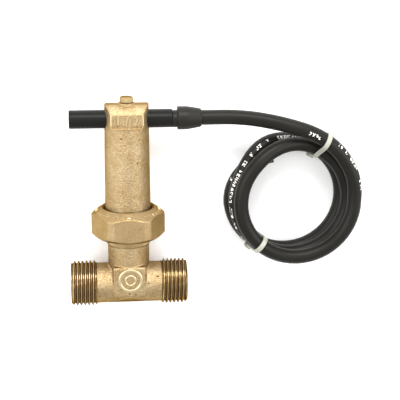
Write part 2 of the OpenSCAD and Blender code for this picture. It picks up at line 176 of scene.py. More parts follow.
class CastingSettings(bpy.types.PropertyGroup):
    """Sizes and colours of the brass tee and bonnet."""

    pitch: length("Thread pitch", "Pitch of the pipe threads, 14 to the inch", 1.814)
    thread_depth: length("Thread depth", "Depth of the pipe threads", 1.162)
    grain: length("Cast grain", "Width of the dimples that the sand leaves", 0.8)
    corner: length("Cast corner", "Voxel that rounds the cast corners", 0.26)
    size_mark: bpy.props.StringProperty(
        name="Size mark", description="Plain pipe size raised on the bonnet", default="1/2"
    )
    light: colour("Cast brass", "Colour of the clean cast skin", "#B8A481")
    dark: colour("Cast brass, dark", "Colour of the duller patches of the skin", "#987C50")
    cut: colour("Cut brass", "Colour of the turned threads and faces", "#BFA67B")


class NutSettings(bpy.types.PropertyGroup):
    """Sizes and colours of the union nut and the clamp screw."""

    edge: length("Edge", "Rounding of the nut's edges", 0.1)
    marks: bpy.props.IntProperty(
        name="Marks", description="Raised plain marks on the nut's cone", default=36, min=0
    )
    mark_size: length("Mark size", "Length of a raised mark", 1.3)
    body: colour("Nut brass", "Colour of the forged nut", "#B39C76")
    screw: colour("Screw brass", "Colour of the clamp screw", "#A8946C")


class CableSettings(bpy.types.PropertyGroup):
    """Sizes and colours of the cable, its boot and its ties."""

    diameter: length("Cable diameter", "Outside diameter of the jacket", 6.8)
    coil_radius: length("Coil radius", "Radius of the turns along the cable's middle", 26.7)
    tie_width: length("Tie width", "Width of the cable ties", 2.2)
    tie_thickness: length("Tie thickness", "Thickness of the cable ties", 1.0)
    jacket: colour("Jacket", "Colour of the cable's jacket", "#0D0C09")
    marking: colour("Marking", "Colour of the plain marks along the jacket", "#E8E6DE")
    boot: colour("Boot", "Colour of the rubber boot", "#211F1A")
    tube: colour("Probe", "Colour of the probe's tube", "#141412")
    tie: colour("Tie", "Colour of the nylon ties", "#ABABA0")


class StageSettings(bpy.types.PropertyGroup):
    """Camera, light and floor."""

    azimuth: bpy.props.FloatProperty(
        name="Azimuth", description="Camera's turn about the upright valve",
        default=math.radians(5.69), subtype="ANGLE",
    )
    elevation: bpy.props.FloatProperty(
        name="Elevation", description="Camera's height above the upright valve's level",
        default=math.radians(16.111), subtype="ANGLE",
    )
    roll: bpy.props.FloatProperty(
        name="Roll", description="Camera's turn about its own line of sight",
        default=math.radians(0.212), subtype="ANGLE",
    )
    distance: length("Distance", "From the camera to what it looks at", 483.04)
    lens: bpy.props.FloatProperty(
        name="Focal length", description="Focal length on a 36 mm sensor",
        default=93.71, min=10, subtype="DISTANCE_CAMERA",
    )
    floor: colour("Floor", "Colour of the floor", "#FAFAF9")


# ---------------------------------------------------------------- meshes


def piece(name, points, faces, *materials):
    """New mesh object in the scene, its faces smooth and facing outwards."""
    mesh = bpy.data.meshes.new(name)
    mesh.from_pydata(points, [], faces)
    bm = bmesh.new()
    bm.from_mesh(mesh)
    bmesh.ops.remove_doubles(bm, verts=bm.verts, dist=1e-7)
    bmesh.ops.recalc_face_normals(bm, faces=bm.faces)
    bm.to_mesh(mesh)
    bm.free()
    for material in materials:
        mesh.materials.append(material)
    obj = bpy.data.objects.new(name, mesh)
    bpy.context.scene.collection.objects.link(obj)
    return obj


def skin(name, rings, *materials, loop=False):
    """Closed surface over rings of points: the last ring meets the first, or both are capped."""
    count = len(rings[0])
    points = [p for ring in rings for p in ring]
    spans = len(rings) if loop else len(rings) - 1
    faces = [
        (
            i * count + k,
            i * count + (k + 1) % count,
            (i + 1) % len(rings) * count + (k + 1) % count,
            (i + 1) % len(rings) * count + k,
        )
        for i in range(spans)
        for k in range(count)
    ]
    if not loop:
        faces.append(tuple(range(count)))
        faces.append(tuple(range(len(points) - count, len(points))))
    return piece(name, points, faces, *materials)


def lathe(name, outline, place, *materials, sides=96, loop=False):
    """Solid of revolution of a [radius, station] outline; radius may be a function of angle."""
    turns = [2 * math.pi * k / sides for k in range(sides)]
    rings = [
        [place(r(a) if callable(r) else r, a, s) for a in turns] for r, s in outline
    ]
    return skin(name, rings, *materials, loop=loop)


# radius at which an outline ends on its axis
AXIS_R = 0.01


def bar_outline(radius, start, end):
    """Outline of a plain round bar."""
    return [(AXIS_R, start), (radius, start), (radius, end), (AXIS_R, end)]


def bar(name, radius, start, end, place, sides=96):
    """Plain round bar between two stations."""
    return lathe(name, bar_outline(radius, start, end), place, sides=sides)


def rounded(outline, radius, parts=4):
    """Outline with each inner corner replaced by an arc of about the radius."""
    out = [outline[0]]
    for a, b, c in zip(outline, outline[1:], outline[2:]):
        a, b, c = Vector(a), Vector(b), Vector(c)
        back, on = a - b, c - b
        reach = min(radius, back.length * 0.45, on.length * 0.45)
        start, end = b + back.normalized() * reach, b + on.normalized() * reach
        for t in (i / parts for i in range(parts + 1)):
            out.append(tuple((1 - t) ** 2 * start + 2 * t * (1 - t) * b + t * t * end))
    return out + [outline[-1]]


# faces of a box whose corners are listed by x, then depth, then height
BOX_FACES = [(0, 1, 3, 2), (4, 6, 7, 5), (0, 4, 5, 1), (2, 3, 7, 6), (0, 2, 6, 4), (1, 5, 7, 3)]


def block(name, x, depth, height):
    """Box between two x, two depths and two upright heights."""
    corners = [laid(a, b, c) for a in x for b in depth for c in height]
    return piece(name, corners, BOX_FACES)


def bake(obj):
    """Replaces an object's mesh with its evaluated one and drops its modifiers."""
    evaluated = obj.evaluated_get(bpy.context.evaluated_depsgraph_get())
    old, obj.data = obj.data, bpy.data.meshes.new_from_object(evaluated)
    obj.modifiers.clear()
    bpy.data.meshes.remove(old)
    return obj


def bevel(obj, width):
    """Rounds the edges of a box."""
    edge = obj.modifiers.new("Edge", "BEVEL")
    edge.width, edge.segments = width, 3
    return bake(obj)


def combine(base, tools, operation):
    """Joins the tools to the base, or cuts them out of it, and removes them."""
    for tool in tools:
        step = base.modifiers.new("Combine", "BOOLEAN")
        step.operation, step.solver, step.object = operation, "MANIFOLD", tool
        bake(base)
        bpy.data.objects.remove(tool)
    return base


def soften(obj, voxel, passes):
    """Rounds every corner as a sand casting's are, over about two voxels."""
    remesh = obj.modifiers.new("Cast", "REMESH")
    remesh.mode, remesh.voxel_size = "VOXEL", voxel
    relax = obj.modifiers.new("Relax", "SMOOTH")
    relax.factor, relax.iterations = 0.5, passes
    return bake(obj)


def finish_mesh(obj, name, angle, *materials):
    """Names a piece, shades it smooth up to an edge angle and gives it its materials."""
    obj.name = obj.data.name = name
    obj.data.materials.clear()
    for material in materials:
        obj.data.materials.append(material)
    obj.data.shade_smooth()
    obj.data.set_sharp_from_angle(angle=math.radians(angle))
    return obj


def paint_where(obj, index, test):
    """Gives the faces whose middle passes the test the material of that index."""
    for face in obj.data.polygons:
        if test(face.center):
            face.material_index = index


def settle(obj, body, slot, *nodes):
    """Hands a finished piece to the frame: its body and the CAD nodes it shows; the slot for its
    finish is not used.
    """
    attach(obj, body)
    if nodes:
        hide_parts(*nodes)
    return obj


def sweep(path, radius, sides):
    """Rings of points around a path in metres, square to it and without twist."""
    points = [Vector(p) for p in path]
    ways = [(b - a).normalized() for a, b in zip(points, points[1:])]
    tangents = [ways[0]] + [(a + b).normalized() for a, b in zip(ways, ways[1:])] + [ways[-1]]
    up, rings = Vector((0, 0, 1)), []
    for p, t in zip(points, tangents):
        up = (up - t * up.dot(t)).normalized()
        side = t.cross(up)
        turns = [2 * math.pi * k / sides for k in range(sides)]
        rings.append([p + radius * (side * math.cos(a) + up * math.sin(a)) for a in turns])
    return rings


def tube(name, path, radius, sides, *materials, roll=None, printed=()):
    """Round bar swept along a path, with its length and turn in a UV map, in metres and turns.

    The faces in the printed stretches are marked in an attribute.
    """
    rings = sweep(path, radius, sides)
    runs = [0.0]
    for a, b in zip(path, path[1:]):
        runs.append(runs[-1] + (Vector(b) - Vector(a)).length)
    rolls = [roll(run) if roll else 0.0 for run in runs]
    count = len(rings)
    verts = [p for ring in rings for p in ring]
    faces = [
        (i * sides + k, i * sides + (k + 1) % sides,
         (i + 1) * sides + (k + 1) % sides, (i + 1) * sides + k)
        for i in range(count - 1)
        for k in range(sides)
    ]
    faces += [tuple(range(sides))[::-1], tuple(range((count - 1) * sides, count * sides))]
    mesh = bpy.data.meshes.new(name)
    mesh.from_pydata(verts, [], faces)
    layer = mesh.uv_layers.new(name="Along")
    for face in mesh.polygons:
        body = face.loop_total == 4
        for corner in face.loop_indices:
            i, k = divmod(mesh.loops[corner].vertex_index, sides)
            wraps = body and k == 0 and face.vertices[0] % sides == sides - 1
            turn = (sides if wraps else k) / sides
            layer.data[corner].uv = (runs[i], turn - rolls[i] / (2 * math.pi) if body else 0.0)
    legend = mesh.attributes.new("printed", "FLOAT", "FACE")
    for face in mesh.polygons:
        at = runs[face.vertices[0] // sides]
        legend.data[face.index].value = float(any(a <= at < b for a, b in printed))
    for material in materials:
        mesh.materials.append(material)
    mesh.shade_smooth()
    mesh.set_sharp_from_angle(angle=math.radians(50))
    obj = bpy.data.objects.new(name, mesh)
    bpy.context.scene.collection.objects.link(obj)
    return obj


# ---------------------------------------------------------------- materials


def per_mm(size):
    """Texture scale in metres for a pattern that repeats every so many millimetres."""
    return 1 / (size * MM)


def add(tree, kind, values=None, links=None, **settings):
    """Adds a node with its settings, input values and incoming links."""
    item = tree.nodes.new(kind)
    for name, value in settings.items():
        setattr(item, name, value)
    for name, value in (values or {}).items():
        item.inputs[name].default_value = value
    for name, source in (links or {}).items():
        tree.links.new(source, item.inputs[name])
    return item


def begin(name, **sockets):
    """New material with a Principled shader whose fixed sockets are set, and its coordinates."""
    material = bpy.data.materials.new(name)
    material.use_nodes = True
    tree = material.node_tree
    shader = tree.nodes["Principled BSDF"]
    for socket, value in sockets.items():
        shader.inputs[socket.replace("_", " ")].default_value = value
    return material, tree, shader, add(tree, "ShaderNodeTexCoord")


# handled metal is darker and browner where it is seen edge on
EDGE_TINT = "#84704F"
# width of the broad patches of the two tones, and spacing of the gas pits, drawn coarse
PATCH_MM, PIT_MM = 7, 4.6
# dark tone of the gas pits, then of the painted shade in the pipe threads' roots
PIT_TONE, THREAD_SHADE_TONE = "#4A371C", "#4E3D22"
# distances from the pipe's axis between which the painted shade in the threads' roots fades
SHADED_MM, UNSHADED_MM = 9.3, 10.3


def bare_metal(name, light, dark, grain_mm, relief_mm, rough, pits=0.0, stretch=(1, 1, 1),
               thread_shade=0.0):
    """Bare metal: two close tones in broad patches, a grained skin and, if cast, gas pits."""
    material, tree, shader, where = begin(name, Metallic=1.0, Specular_Tint=srgb(EDGE_TINT))
    place = add(tree, "ShaderNodeMapping", {"Scale": stretch}, {"Vector": where.outputs["Object"]})
    patch = add(tree, "ShaderNodeTexNoise",
                {"Scale": per_mm(PATCH_MM), "Detail": 3, "Roughness": 0.65},
                {"Vector": where.outputs["Object"]})
    grain = add(tree, "ShaderNodeTexNoise",
                {"Scale": per_mm(grain_mm), "Detail": 4, "Roughness": 0.65},
                {"Vector": place.outputs["Vector"]})
    tone = add(tree, "ShaderNodeMath", {1: 1.6}, {0: grain.outputs["Fac"]}, operation="MULTIPLY")
    both = add(tree, "ShaderNodeMath", {}, {0: tone.outputs[0], 1: patch.outputs["Fac"]},
               operation="ADD")
    level = add(tree, "ShaderNodeMapRange", {"From Min": 1.0, "From Max": 1.7},
                {"Value": both.outputs[0]})
    base = add(tree, "ShaderNodeMix", {"A": light, "B": dark}, {"Factor": level.outputs[0]},
               data_type="RGBA")
    pit = add(tree, "ShaderNodeTexVoronoi", {"Scale": per_mm(PIT_MM), "Randomness": 1.0},
              {"Vector": where.outputs["Object"]})
    rare = add(tree, "ShaderNodeMapRange",
               {"From Min": 0.05, "From Max": 0.11, "To Min": pits, "To Max": 0.0},
               {"Value": pit.outputs["Distance"]})
    pitted = add(tree, "ShaderNodeMix", {"B": srgb(PIT_TONE)},
                 {"Factor": rare.outputs[0], "A": base.outputs["Result"]}, data_type="RGBA")
    shown = pitted
    # painted shade: the base colour darkens towards the pipe threads' roots
    if thread_shade:
        shown = paint_thread_shade(tree, where, pitted, thread_shade)
    tree.links.new(shown.outputs["Result"], shader.inputs["Base Color"])
    worn = add(tree, "ShaderNodeMapRange", {"To Min": rough - 0.06, "To Max": rough + 0.08},
               {"Value": patch.outputs["Fac"]})
    tree.links.new(worn.outputs[0], shader.inputs["Roughness"])
    height = add(tree, "ShaderNodeMath", {1: -1.0}, {0: rare.outputs[0], 2: grain.outputs["Fac"]},
                 operation="MULTIPLY_ADD")
    bump = add(tree, "ShaderNodeBump", {"Strength": 0.8, "Distance": relief_mm * MM},
               {"Height": height.outputs[0]})
    tree.links.new(bump.outputs["Normal"], shader.inputs["Normal"])
    return material


def paint_thread_shade(tree, where, base, amount):
    """Paints shade into the base colour towards the roots of the pipe threads, darker nearer the
    pipe's axis.
    """
    off = add(tree, "ShaderNodeVectorMath", {1: tuple(PIPE_AXIS)},
              {0: where.outputs["Object"]}, operation="SUBTRACT")
    across = add(tree, "ShaderNodeVectorMath", {1: (0, 1, 1)}, {0: off.outputs[0]},
                 operation="MULTIPLY")
    far = add(tree, "ShaderNodeVectorMath", {}, {0: across.outputs[0]}, operation="LENGTH")
    share = add(tree, "ShaderNodeMapRange",
                {"From Min": SHADED_MM * MM, "From Max": UNSHADED_MM * MM, "To Min": amount,
                 "To Max": 0.0},
                {"Value": far.outputs["Value"]})
    return add(tree, "ShaderNodeMix", {"B": srgb(THREAD_SHADE_TONE)},
               {"Factor": share.outputs[0], "A": base.outputs["Result"]}, data_type="RGBA")


def moulded(name, light, dark, rough, grain_mm, relief_mm, **sockets):
    """Moulded plastic, rubber or paint: close tones, an even gloss and a fine skin."""
    material, tree, shader, where = begin(name, **sockets)
    patch = add(tree, "ShaderNodeTexNoise", {"Scale": per_mm(grain_mm * 6), "Detail": 2},
                {"Vector": where.outputs["Object"]})
    grain = add(tree, "ShaderNodeTexNoise", {"Scale": per_mm(grain_mm), "Detail": 2},
                {"Vector": where.outputs["Object"]})
    base = add(tree, "ShaderNodeMix", {"A": light, "B": dark}, {"Factor": patch.outputs["Fac"]},
               data_type="RGBA")
    worn = add(tree, "ShaderNodeMapRange", {"To Min": rough - 0.05, "To Max": rough + 0.05},
               {"Value": grain.outputs["Fac"]})
    bump = add(tree, "ShaderNodeBump", {"Strength": 0.6, "Distance": relief_mm * MM},
               {"Height": grain.outputs["Fac"]})
    tree.links.new(base.outputs["Result"], shader.inputs["Base Color"])
    tree.links.new(worn.outputs[0], shader.inputs["Roughness"])
    tree.links.new(bump.outputs["Normal"], shader.inputs["Normal"])
    return material


# marks along the jacket: cells of this length with this many bars in this many rows, drawn
# coarse; the band that they fill and its middle are shares of the girth
CELL_MM, CELL_BARS, CELL_ROWS = 1.75, 4.0, 2
BAND, BAND_MIDDLE = 0.078, 0.25
# share of a cell before its gap, and the levels past which a cell and a bar are marked
CELL_FILLED, CELL_LEVEL, BAR_LEVEL = 0.74, 0.3, 0.46
# scuffs and fine skin of the jacket
SCUFF_MM, SKIN_MM, SKIN_RELIEF_MM = 11, 1.1, 0.03
SCUFF_TONE = "#1B1913"


def printed_jacket(look):
    """Extruded PVC jacket: smooth satin brown-black, with a row of small plain white bars."""
    material, tree, shader, where = begin("extruded_pvc_jacket", Specular_IOR_Level=0.2)
    legend = add(tree, "ShaderNodeAttribute", attribute_name="printed")
    along = add(tree, "ShaderNodeSeparateXYZ", {}, {"Vector": where.outputs["UV"]})
    cells = add(tree, "ShaderNodeMath", {1: per_mm(CELL_MM)}, {0: along.outputs["X"]},
                operation="MULTIPLY")
    cell = add(tree, "ShaderNodeMath", {}, {0: cells.outputs[0]}, operation="FLOOR")
    inside = add(tree, "ShaderNodeMath", {}, {0: cells.outputs[0]}, operation="FRACT")
    pick = add(tree, "ShaderNodeTexWhiteNoise", {}, {"W": cell.outputs[0]},
               noise_dimensions="1D")
    rows = add(tree, "ShaderNodeMath", {1: CELL_ROWS / BAND}, {0: along.outputs["Y"]},
               operation="MULTIPLY")
    row = add(tree, "ShaderNodeMath", {}, {0: rows.outputs[0]}, operation="FLOOR")
    columns = add(tree, "ShaderNodeMath", {1: CELL_BARS}, {0: inside.outputs[0]},
                  operation="MULTIPLY")
    column = add(tree, "ShaderNodeMath", {}, {0: columns.outputs[0]}, operation="FLOOR")
    grid = add(tree, "ShaderNodeCombineXYZ", {},
               {"X": cell.outputs[0], "Y": row.outputs[0], "Z": column.outputs[0]})
    stroke = add(tree, "ShaderNodeTexWhiteNoise", {}, {"Vector": grid.outputs[0]},
                 noise_dimensions="3D")
    shown = add(tree, "ShaderNodeMath", {1: BAR_LEVEL}, {0: stroke.outputs["Value"]},
                operation="GREATER_THAN")
    used = add(tree, "ShaderNodeMath", {1: CELL_LEVEL}, {0: pick.outputs["Value"]},
               operation="GREATER_THAN")
    gap = add(tree, "ShaderNodeMath", {1: CELL_FILLED}, {0: inside.outputs[0]},
              operation="LESS_THAN")
    off = add(tree, "ShaderNodeMath", {1: BAND_MIDDLE}, {0: along.outputs["Y"]},
              operation="SUBTRACT")
    away = add(tree, "ShaderNodeMath", {}, {0: off.outputs[0]}, operation="ABSOLUTE")
    band = add(tree, "ShaderNodeMath", {1: BAND / 2}, {0: away.outputs[0]},
               operation="LESS_THAN")
    mask = shown.outputs[0]
    for part in (used, gap, band, legend):
        source = part.outputs["Fac"] if part is legend else part.outputs[0]
        mask = add(tree, "ShaderNodeMath", {}, {0: mask, 1: source},
                   operation="MULTIPLY").outputs[0]
    scuff = add(tree, "ShaderNodeTexNoise", {"Scale": per_mm(SCUFF_MM), "Detail": 3},
                {"Vector": where.outputs["Object"]})
    base = add(tree, "ShaderNodeMix", {"A": look.jacket, "B": srgb(SCUFF_TONE)},
               {"Factor": scuff.outputs["Fac"]}, data_type="RGBA")
    inked = add(tree, "ShaderNodeMix", {"B": look.marking}, {"Factor": mask,
                "A": base.outputs["Result"]}, data_type="RGBA")
    gloss = add(tree, "ShaderNodeMapRange", {"To Min": 0.38, "To Max": 0.5},
                {"Value": scuff.outputs["Fac"]})
    fine = add(tree, "ShaderNodeTexNoise", {"Scale": per_mm(SKIN_MM), "Detail": 2},
               {"Vector": where.outputs["Object"]})
    bump = add(tree, "ShaderNodeBump", {"Strength": 0.3, "Distance": SKIN_RELIEF_MM * MM},
               {"Height": fine.outputs["Fac"]})
    tree.links.new(inked.outputs["Result"], shader.inputs["Base Color"])
    tree.links.new(gloss.outputs[0], shader.inputs["Roughness"])
    tree.links.new(bump.outputs["Normal"], shader.inputs["Normal"])
    return material


# ---------------------------------------------------------------- stage

# what the camera looks at
AIM = (33.386, 0.0, 39.152)
SENSOR = 36.0
# half of the floor's side, in metres, and the light that comes up through its pale sheet
FLOOR_HALF = 1.6
FLOOR_GLOW = 0.1
WORLD_TONE = "#FFFFFF"
WORLD_LEVEL = 0.95
# name, place and size in metres, and power in watts of each soft light
LAMPS = [
    ("soft_left", (-0.66, 0.15, 0.68), (0.45, 0.9), 5.6),
    ("soft_right", (0.8, 0.15, 0.65), (0.45, 0.9), 5.8),
    ("soft_top", (0.05, 0.75, 0.6), (0.6, 0.25), 8.0),
]


class FLOWSWITCH_OT_stage(bpy.types.Operator):
    """Add the floor, the soft lights and the camera"""

    bl_idname = "flowswitch.stage"
    bl_label = "Stage"

    def execute(self, context):
        look, scene = context.scene.flowswitch_stage, context.scene
        aim = laid(*AIM)
        self.floor(look)
        self.camera(look, scene, aim)
        self.lamps(scene, aim)
        world = bpy.data.worlds.new("studio")
        world.use_nodes = True
        sky = world.node_tree.nodes["Background"].inputs
        sky["Color"].default_value = srgb(WORLD_TONE)
        sky["Strength"].default_value = WORLD_LEVEL
        scene.world = world
        scene.view_settings.view_transform = "Standard"
        return {"FINISHED"}

    def floor(self, look):
        """Square sheet that the flow switch lies on."""
        half = FLOOR_HALF
        corners = [(-half, -half, 0), (half, -half, 0), (half, half, 0), (-half, half, 0)]
        # matt white sheet, lit a little from below: no texture shows, only a faint shadow
        sheet = moulded("lit_table_floor", look.floor, look.floor, 0.85, 2.0, 0.01,
                        Emission_Color=look.floor, Emission_Strength=FLOOR_GLOW)
        piece("floor", corners, [(0, 1, 2, 3)], sheet)

    def camera(self, look, scene, aim):
        """Camera in front of the upright valve, turned and raised by the settings."""
        away = Vector((-math.sin(look.azimuth) * math.cos(look.elevation),
                       math.sin(look.elevation),
                       math.cos(look.azimuth) * math.cos(look.elevation)))
        camera = bpy.data.cameras.new("camera")
        camera.sensor_width, camera.lens = SENSOR, look.lens
        camera.clip_start, camera.clip_end = 0.01, 20.0
        viewer = bpy.data.objects.new("camera", camera)
        right = Vector((0, 1, 0)).cross(away).normalized()
        facing = Matrix((right, away.cross(right), away)).transposed()
        viewer.matrix_world = (
            Matrix.Translation(aim + away * look.distance)
            @ facing.to_4x4()
            @ Matrix.Rotation(look.roll, 4, "Z")
        )
        scene.collection.objects.link(viewer)
        scene.camera = viewer

    def lamps(self, scene, aim):
        """Large soft lights, all turned to what the camera looks at."""
        for name, at, size, watts in LAMPS:
            lamp = bpy.data.lights.new(name, "AREA")
            lamp.energy, lamp.shape, lamp.size, lamp.size_y = watts, "RECTANGLE", *size
            holder = bpy.data.objects.new(name, lamp)
            holder.location = at
            holder.rotation_euler = (aim - Vector(at)).to_track_quat("-Z", "Y").to_euler()
            scene.collection.objects.link(holder)


# ---------------------------------------------------------------- cable

# centre of the coil on the table, and sideways shift and height of its layers, highest first
COIL_CENTRE = (77.3, -1.3)
LAYERS = [(1.7, 18.1), (0.0, 11.25), (-1.7, 4.4)]
# the free length from inside the boot to the coil's first turn
LEAD = [
    (24, 39.2, 15.5), (34, 39.2, 15.5), (47, 39.2, 15.6), (57, 38.4, 15.9), (66.5, 36.8, 16.5),
    (75.5, 34.6, 17.2), (84, 31.8, 17.8), (91.1, 28, 18.1), (96.5, 23.5, 18.1),
    (100.5, 18.5, 18.1), (104, 12, 18.1), (105.6, 5, 18.1), (105.7, -1.3, 18.1),
]
# stretches of the coil, in degrees of turn, where the cable drops to the layer below
DROPS = [(215, 290), (575, 650)]
# stretch where the last turn draws in under the others, how far, and where it is cut off
TUCK = (890, 985, 6.5)
COIL_END = 970
# stretch where the middle turn swings out over the tucked end, and how far
SWING = (560, 645, 2.2)
TURN_STEP = 6.0
LEAD_STEPS = 4
CABLE_SIDES = 24
# stretches of the cable with marks on them, from its start
MARKED = [(57, 70.5), (74, 98), (334, 372), (375, 404), (530, 546)]
# how far outwards from the cable's top the marks lie, in degrees, at each place
MARK_ROLL = [(0, 0), (70, 0), (75, 50), (98, 55), (334, 62), (352, 45), (372, 22), (376, 12),
             (403, 6), (503, 30), (530, 30), (546, 10), (600, 10)]
# name, CAD node, place around the coil in degrees, side of the head (1 is outside) and the
# strands that the tie holds, as [distance from the coil's centre, layer], the head's first
TIES = [
    ("tie_by_lead", "tie_upper", 64, -1, [(25.9, 2), (26.7, 1), (32, 0)]),
    ("tie_by_nut", "tie_lower", -128, 1, [(27.7, 2), (25.5, 0)]),
]
# half sizes of a tie's head: out from the coil, across and up
HEAD = Vector((0.7, 1.6, 1.7))
# bare cores: angle, distance from the middle and height of their way in under the coil
CORE_WAY = [(103, 21.7, 2.4), (94, 22.0, 0.8), (80, 22.6, 0.7)]
CORE_CENTRE = (COIL_CENTRE[0] - 0.6, COIL_CENTRE[1])
CORE_R, COPPER_R, CORE_SPREAD, CORE_LIFT = 0.65, 0.4, 0.75, 0.9
# colour, the side that it lies on and its tone
CORES = [("brown", 1, "#6B3A1E"), ("blue", -1, "#1F4C8C")]
# boot: what its plug and neck lack of the tube's radius, the neck's length behind the tube,
# the wide part's two stretches, the cone's foot and lip above the cable, and its blunt end
PLUG_STEP, NECK_STEP, NECK_LENGTH = 0.95, 0.3, 2.3
WIDE_RIM, WIDE_LENGTH = 2.2, 4.3
CONE_FOOT, CONE_LIP, BLUNT_END, BOOT_HOLE = 0.95, 0.55, 0.9, 3


def curve_point(a, b, c, d, u):
    """Point on the smooth curve through four points, at u between the middle two."""
    return (2 * b + (c - a) * u + (2 * a - 5 * b + 4 * c - d) * u * u
            + (3 * b - a - 3 * c + d) * u**3) / 2


def smooth_line(points, parts):
    """Smooth line through points, each span cut in equal parts."""
    ends = [points[0], *points, points[-1]]
    line = [curve_point(*ends[i : i + 4], s / parts)
            for i in range(len(points) - 1) for s in range(parts)]
    return line + [points[-1]]


def coil_point(turn, radius):
    """Middle of the cable after so many degrees of turn, in millimetres."""
    shift, height = LAYERS[0]
    for (start, end), above, below in zip(DROPS, LAYERS, LAYERS[1:]):
        share = smooth((turn - start) / (end - start))
        shift += (below[0] - above[0]) * share
        height += (below[1] - above[1]) * share
    tucked, swung = (min(max((turn - start) / (end - start), 0.0), 1.0)
                     for start, end, _ in (TUCK, SWING))
    radius += SWING[2] * math.sin(math.pi * swung) ** 2 - TUCK[2] * smooth(tucked)
    angle = math.radians(-turn)
    return Vector((COIL_CENTRE[0] + shift + radius * math.cos(angle),
                   COIL_CENTRE[1] + radius * math.sin(angle), height))


def cable_path(radius):
    """The whole cable's middle line in metres, for turns of a radius in millimetres."""
    lead = smooth_line([Vector(p) for p in LEAD], LEAD_STEPS)
    turns = steps(0, COIL_END, TURN_STEP)[1:]
    return [p * MM for p in lead + [coil_point(t, radius) for t in turns]]


def path_length(path):
    """Length of a line of points."""
    return sum((b - a).length for a, b in zip(path, path[1:]))


def strap_section(width, half, corner):
    """Outline of a strap of two half sizes with round corners, as [across, out] points."""
    outline = []
    for sx, sy, start in ((1, 1, 0), (-1, 1, 90), (-1, -1, 180), (1, -1, 270)):
        for turn in range(start, start + 91, 30):
            a = math.radians(turn)
            outline.append((sx * (width - corner) + corner * math.cos(a),
                            sy * (half - corner) + corner * math.sin(a)))
    return outline


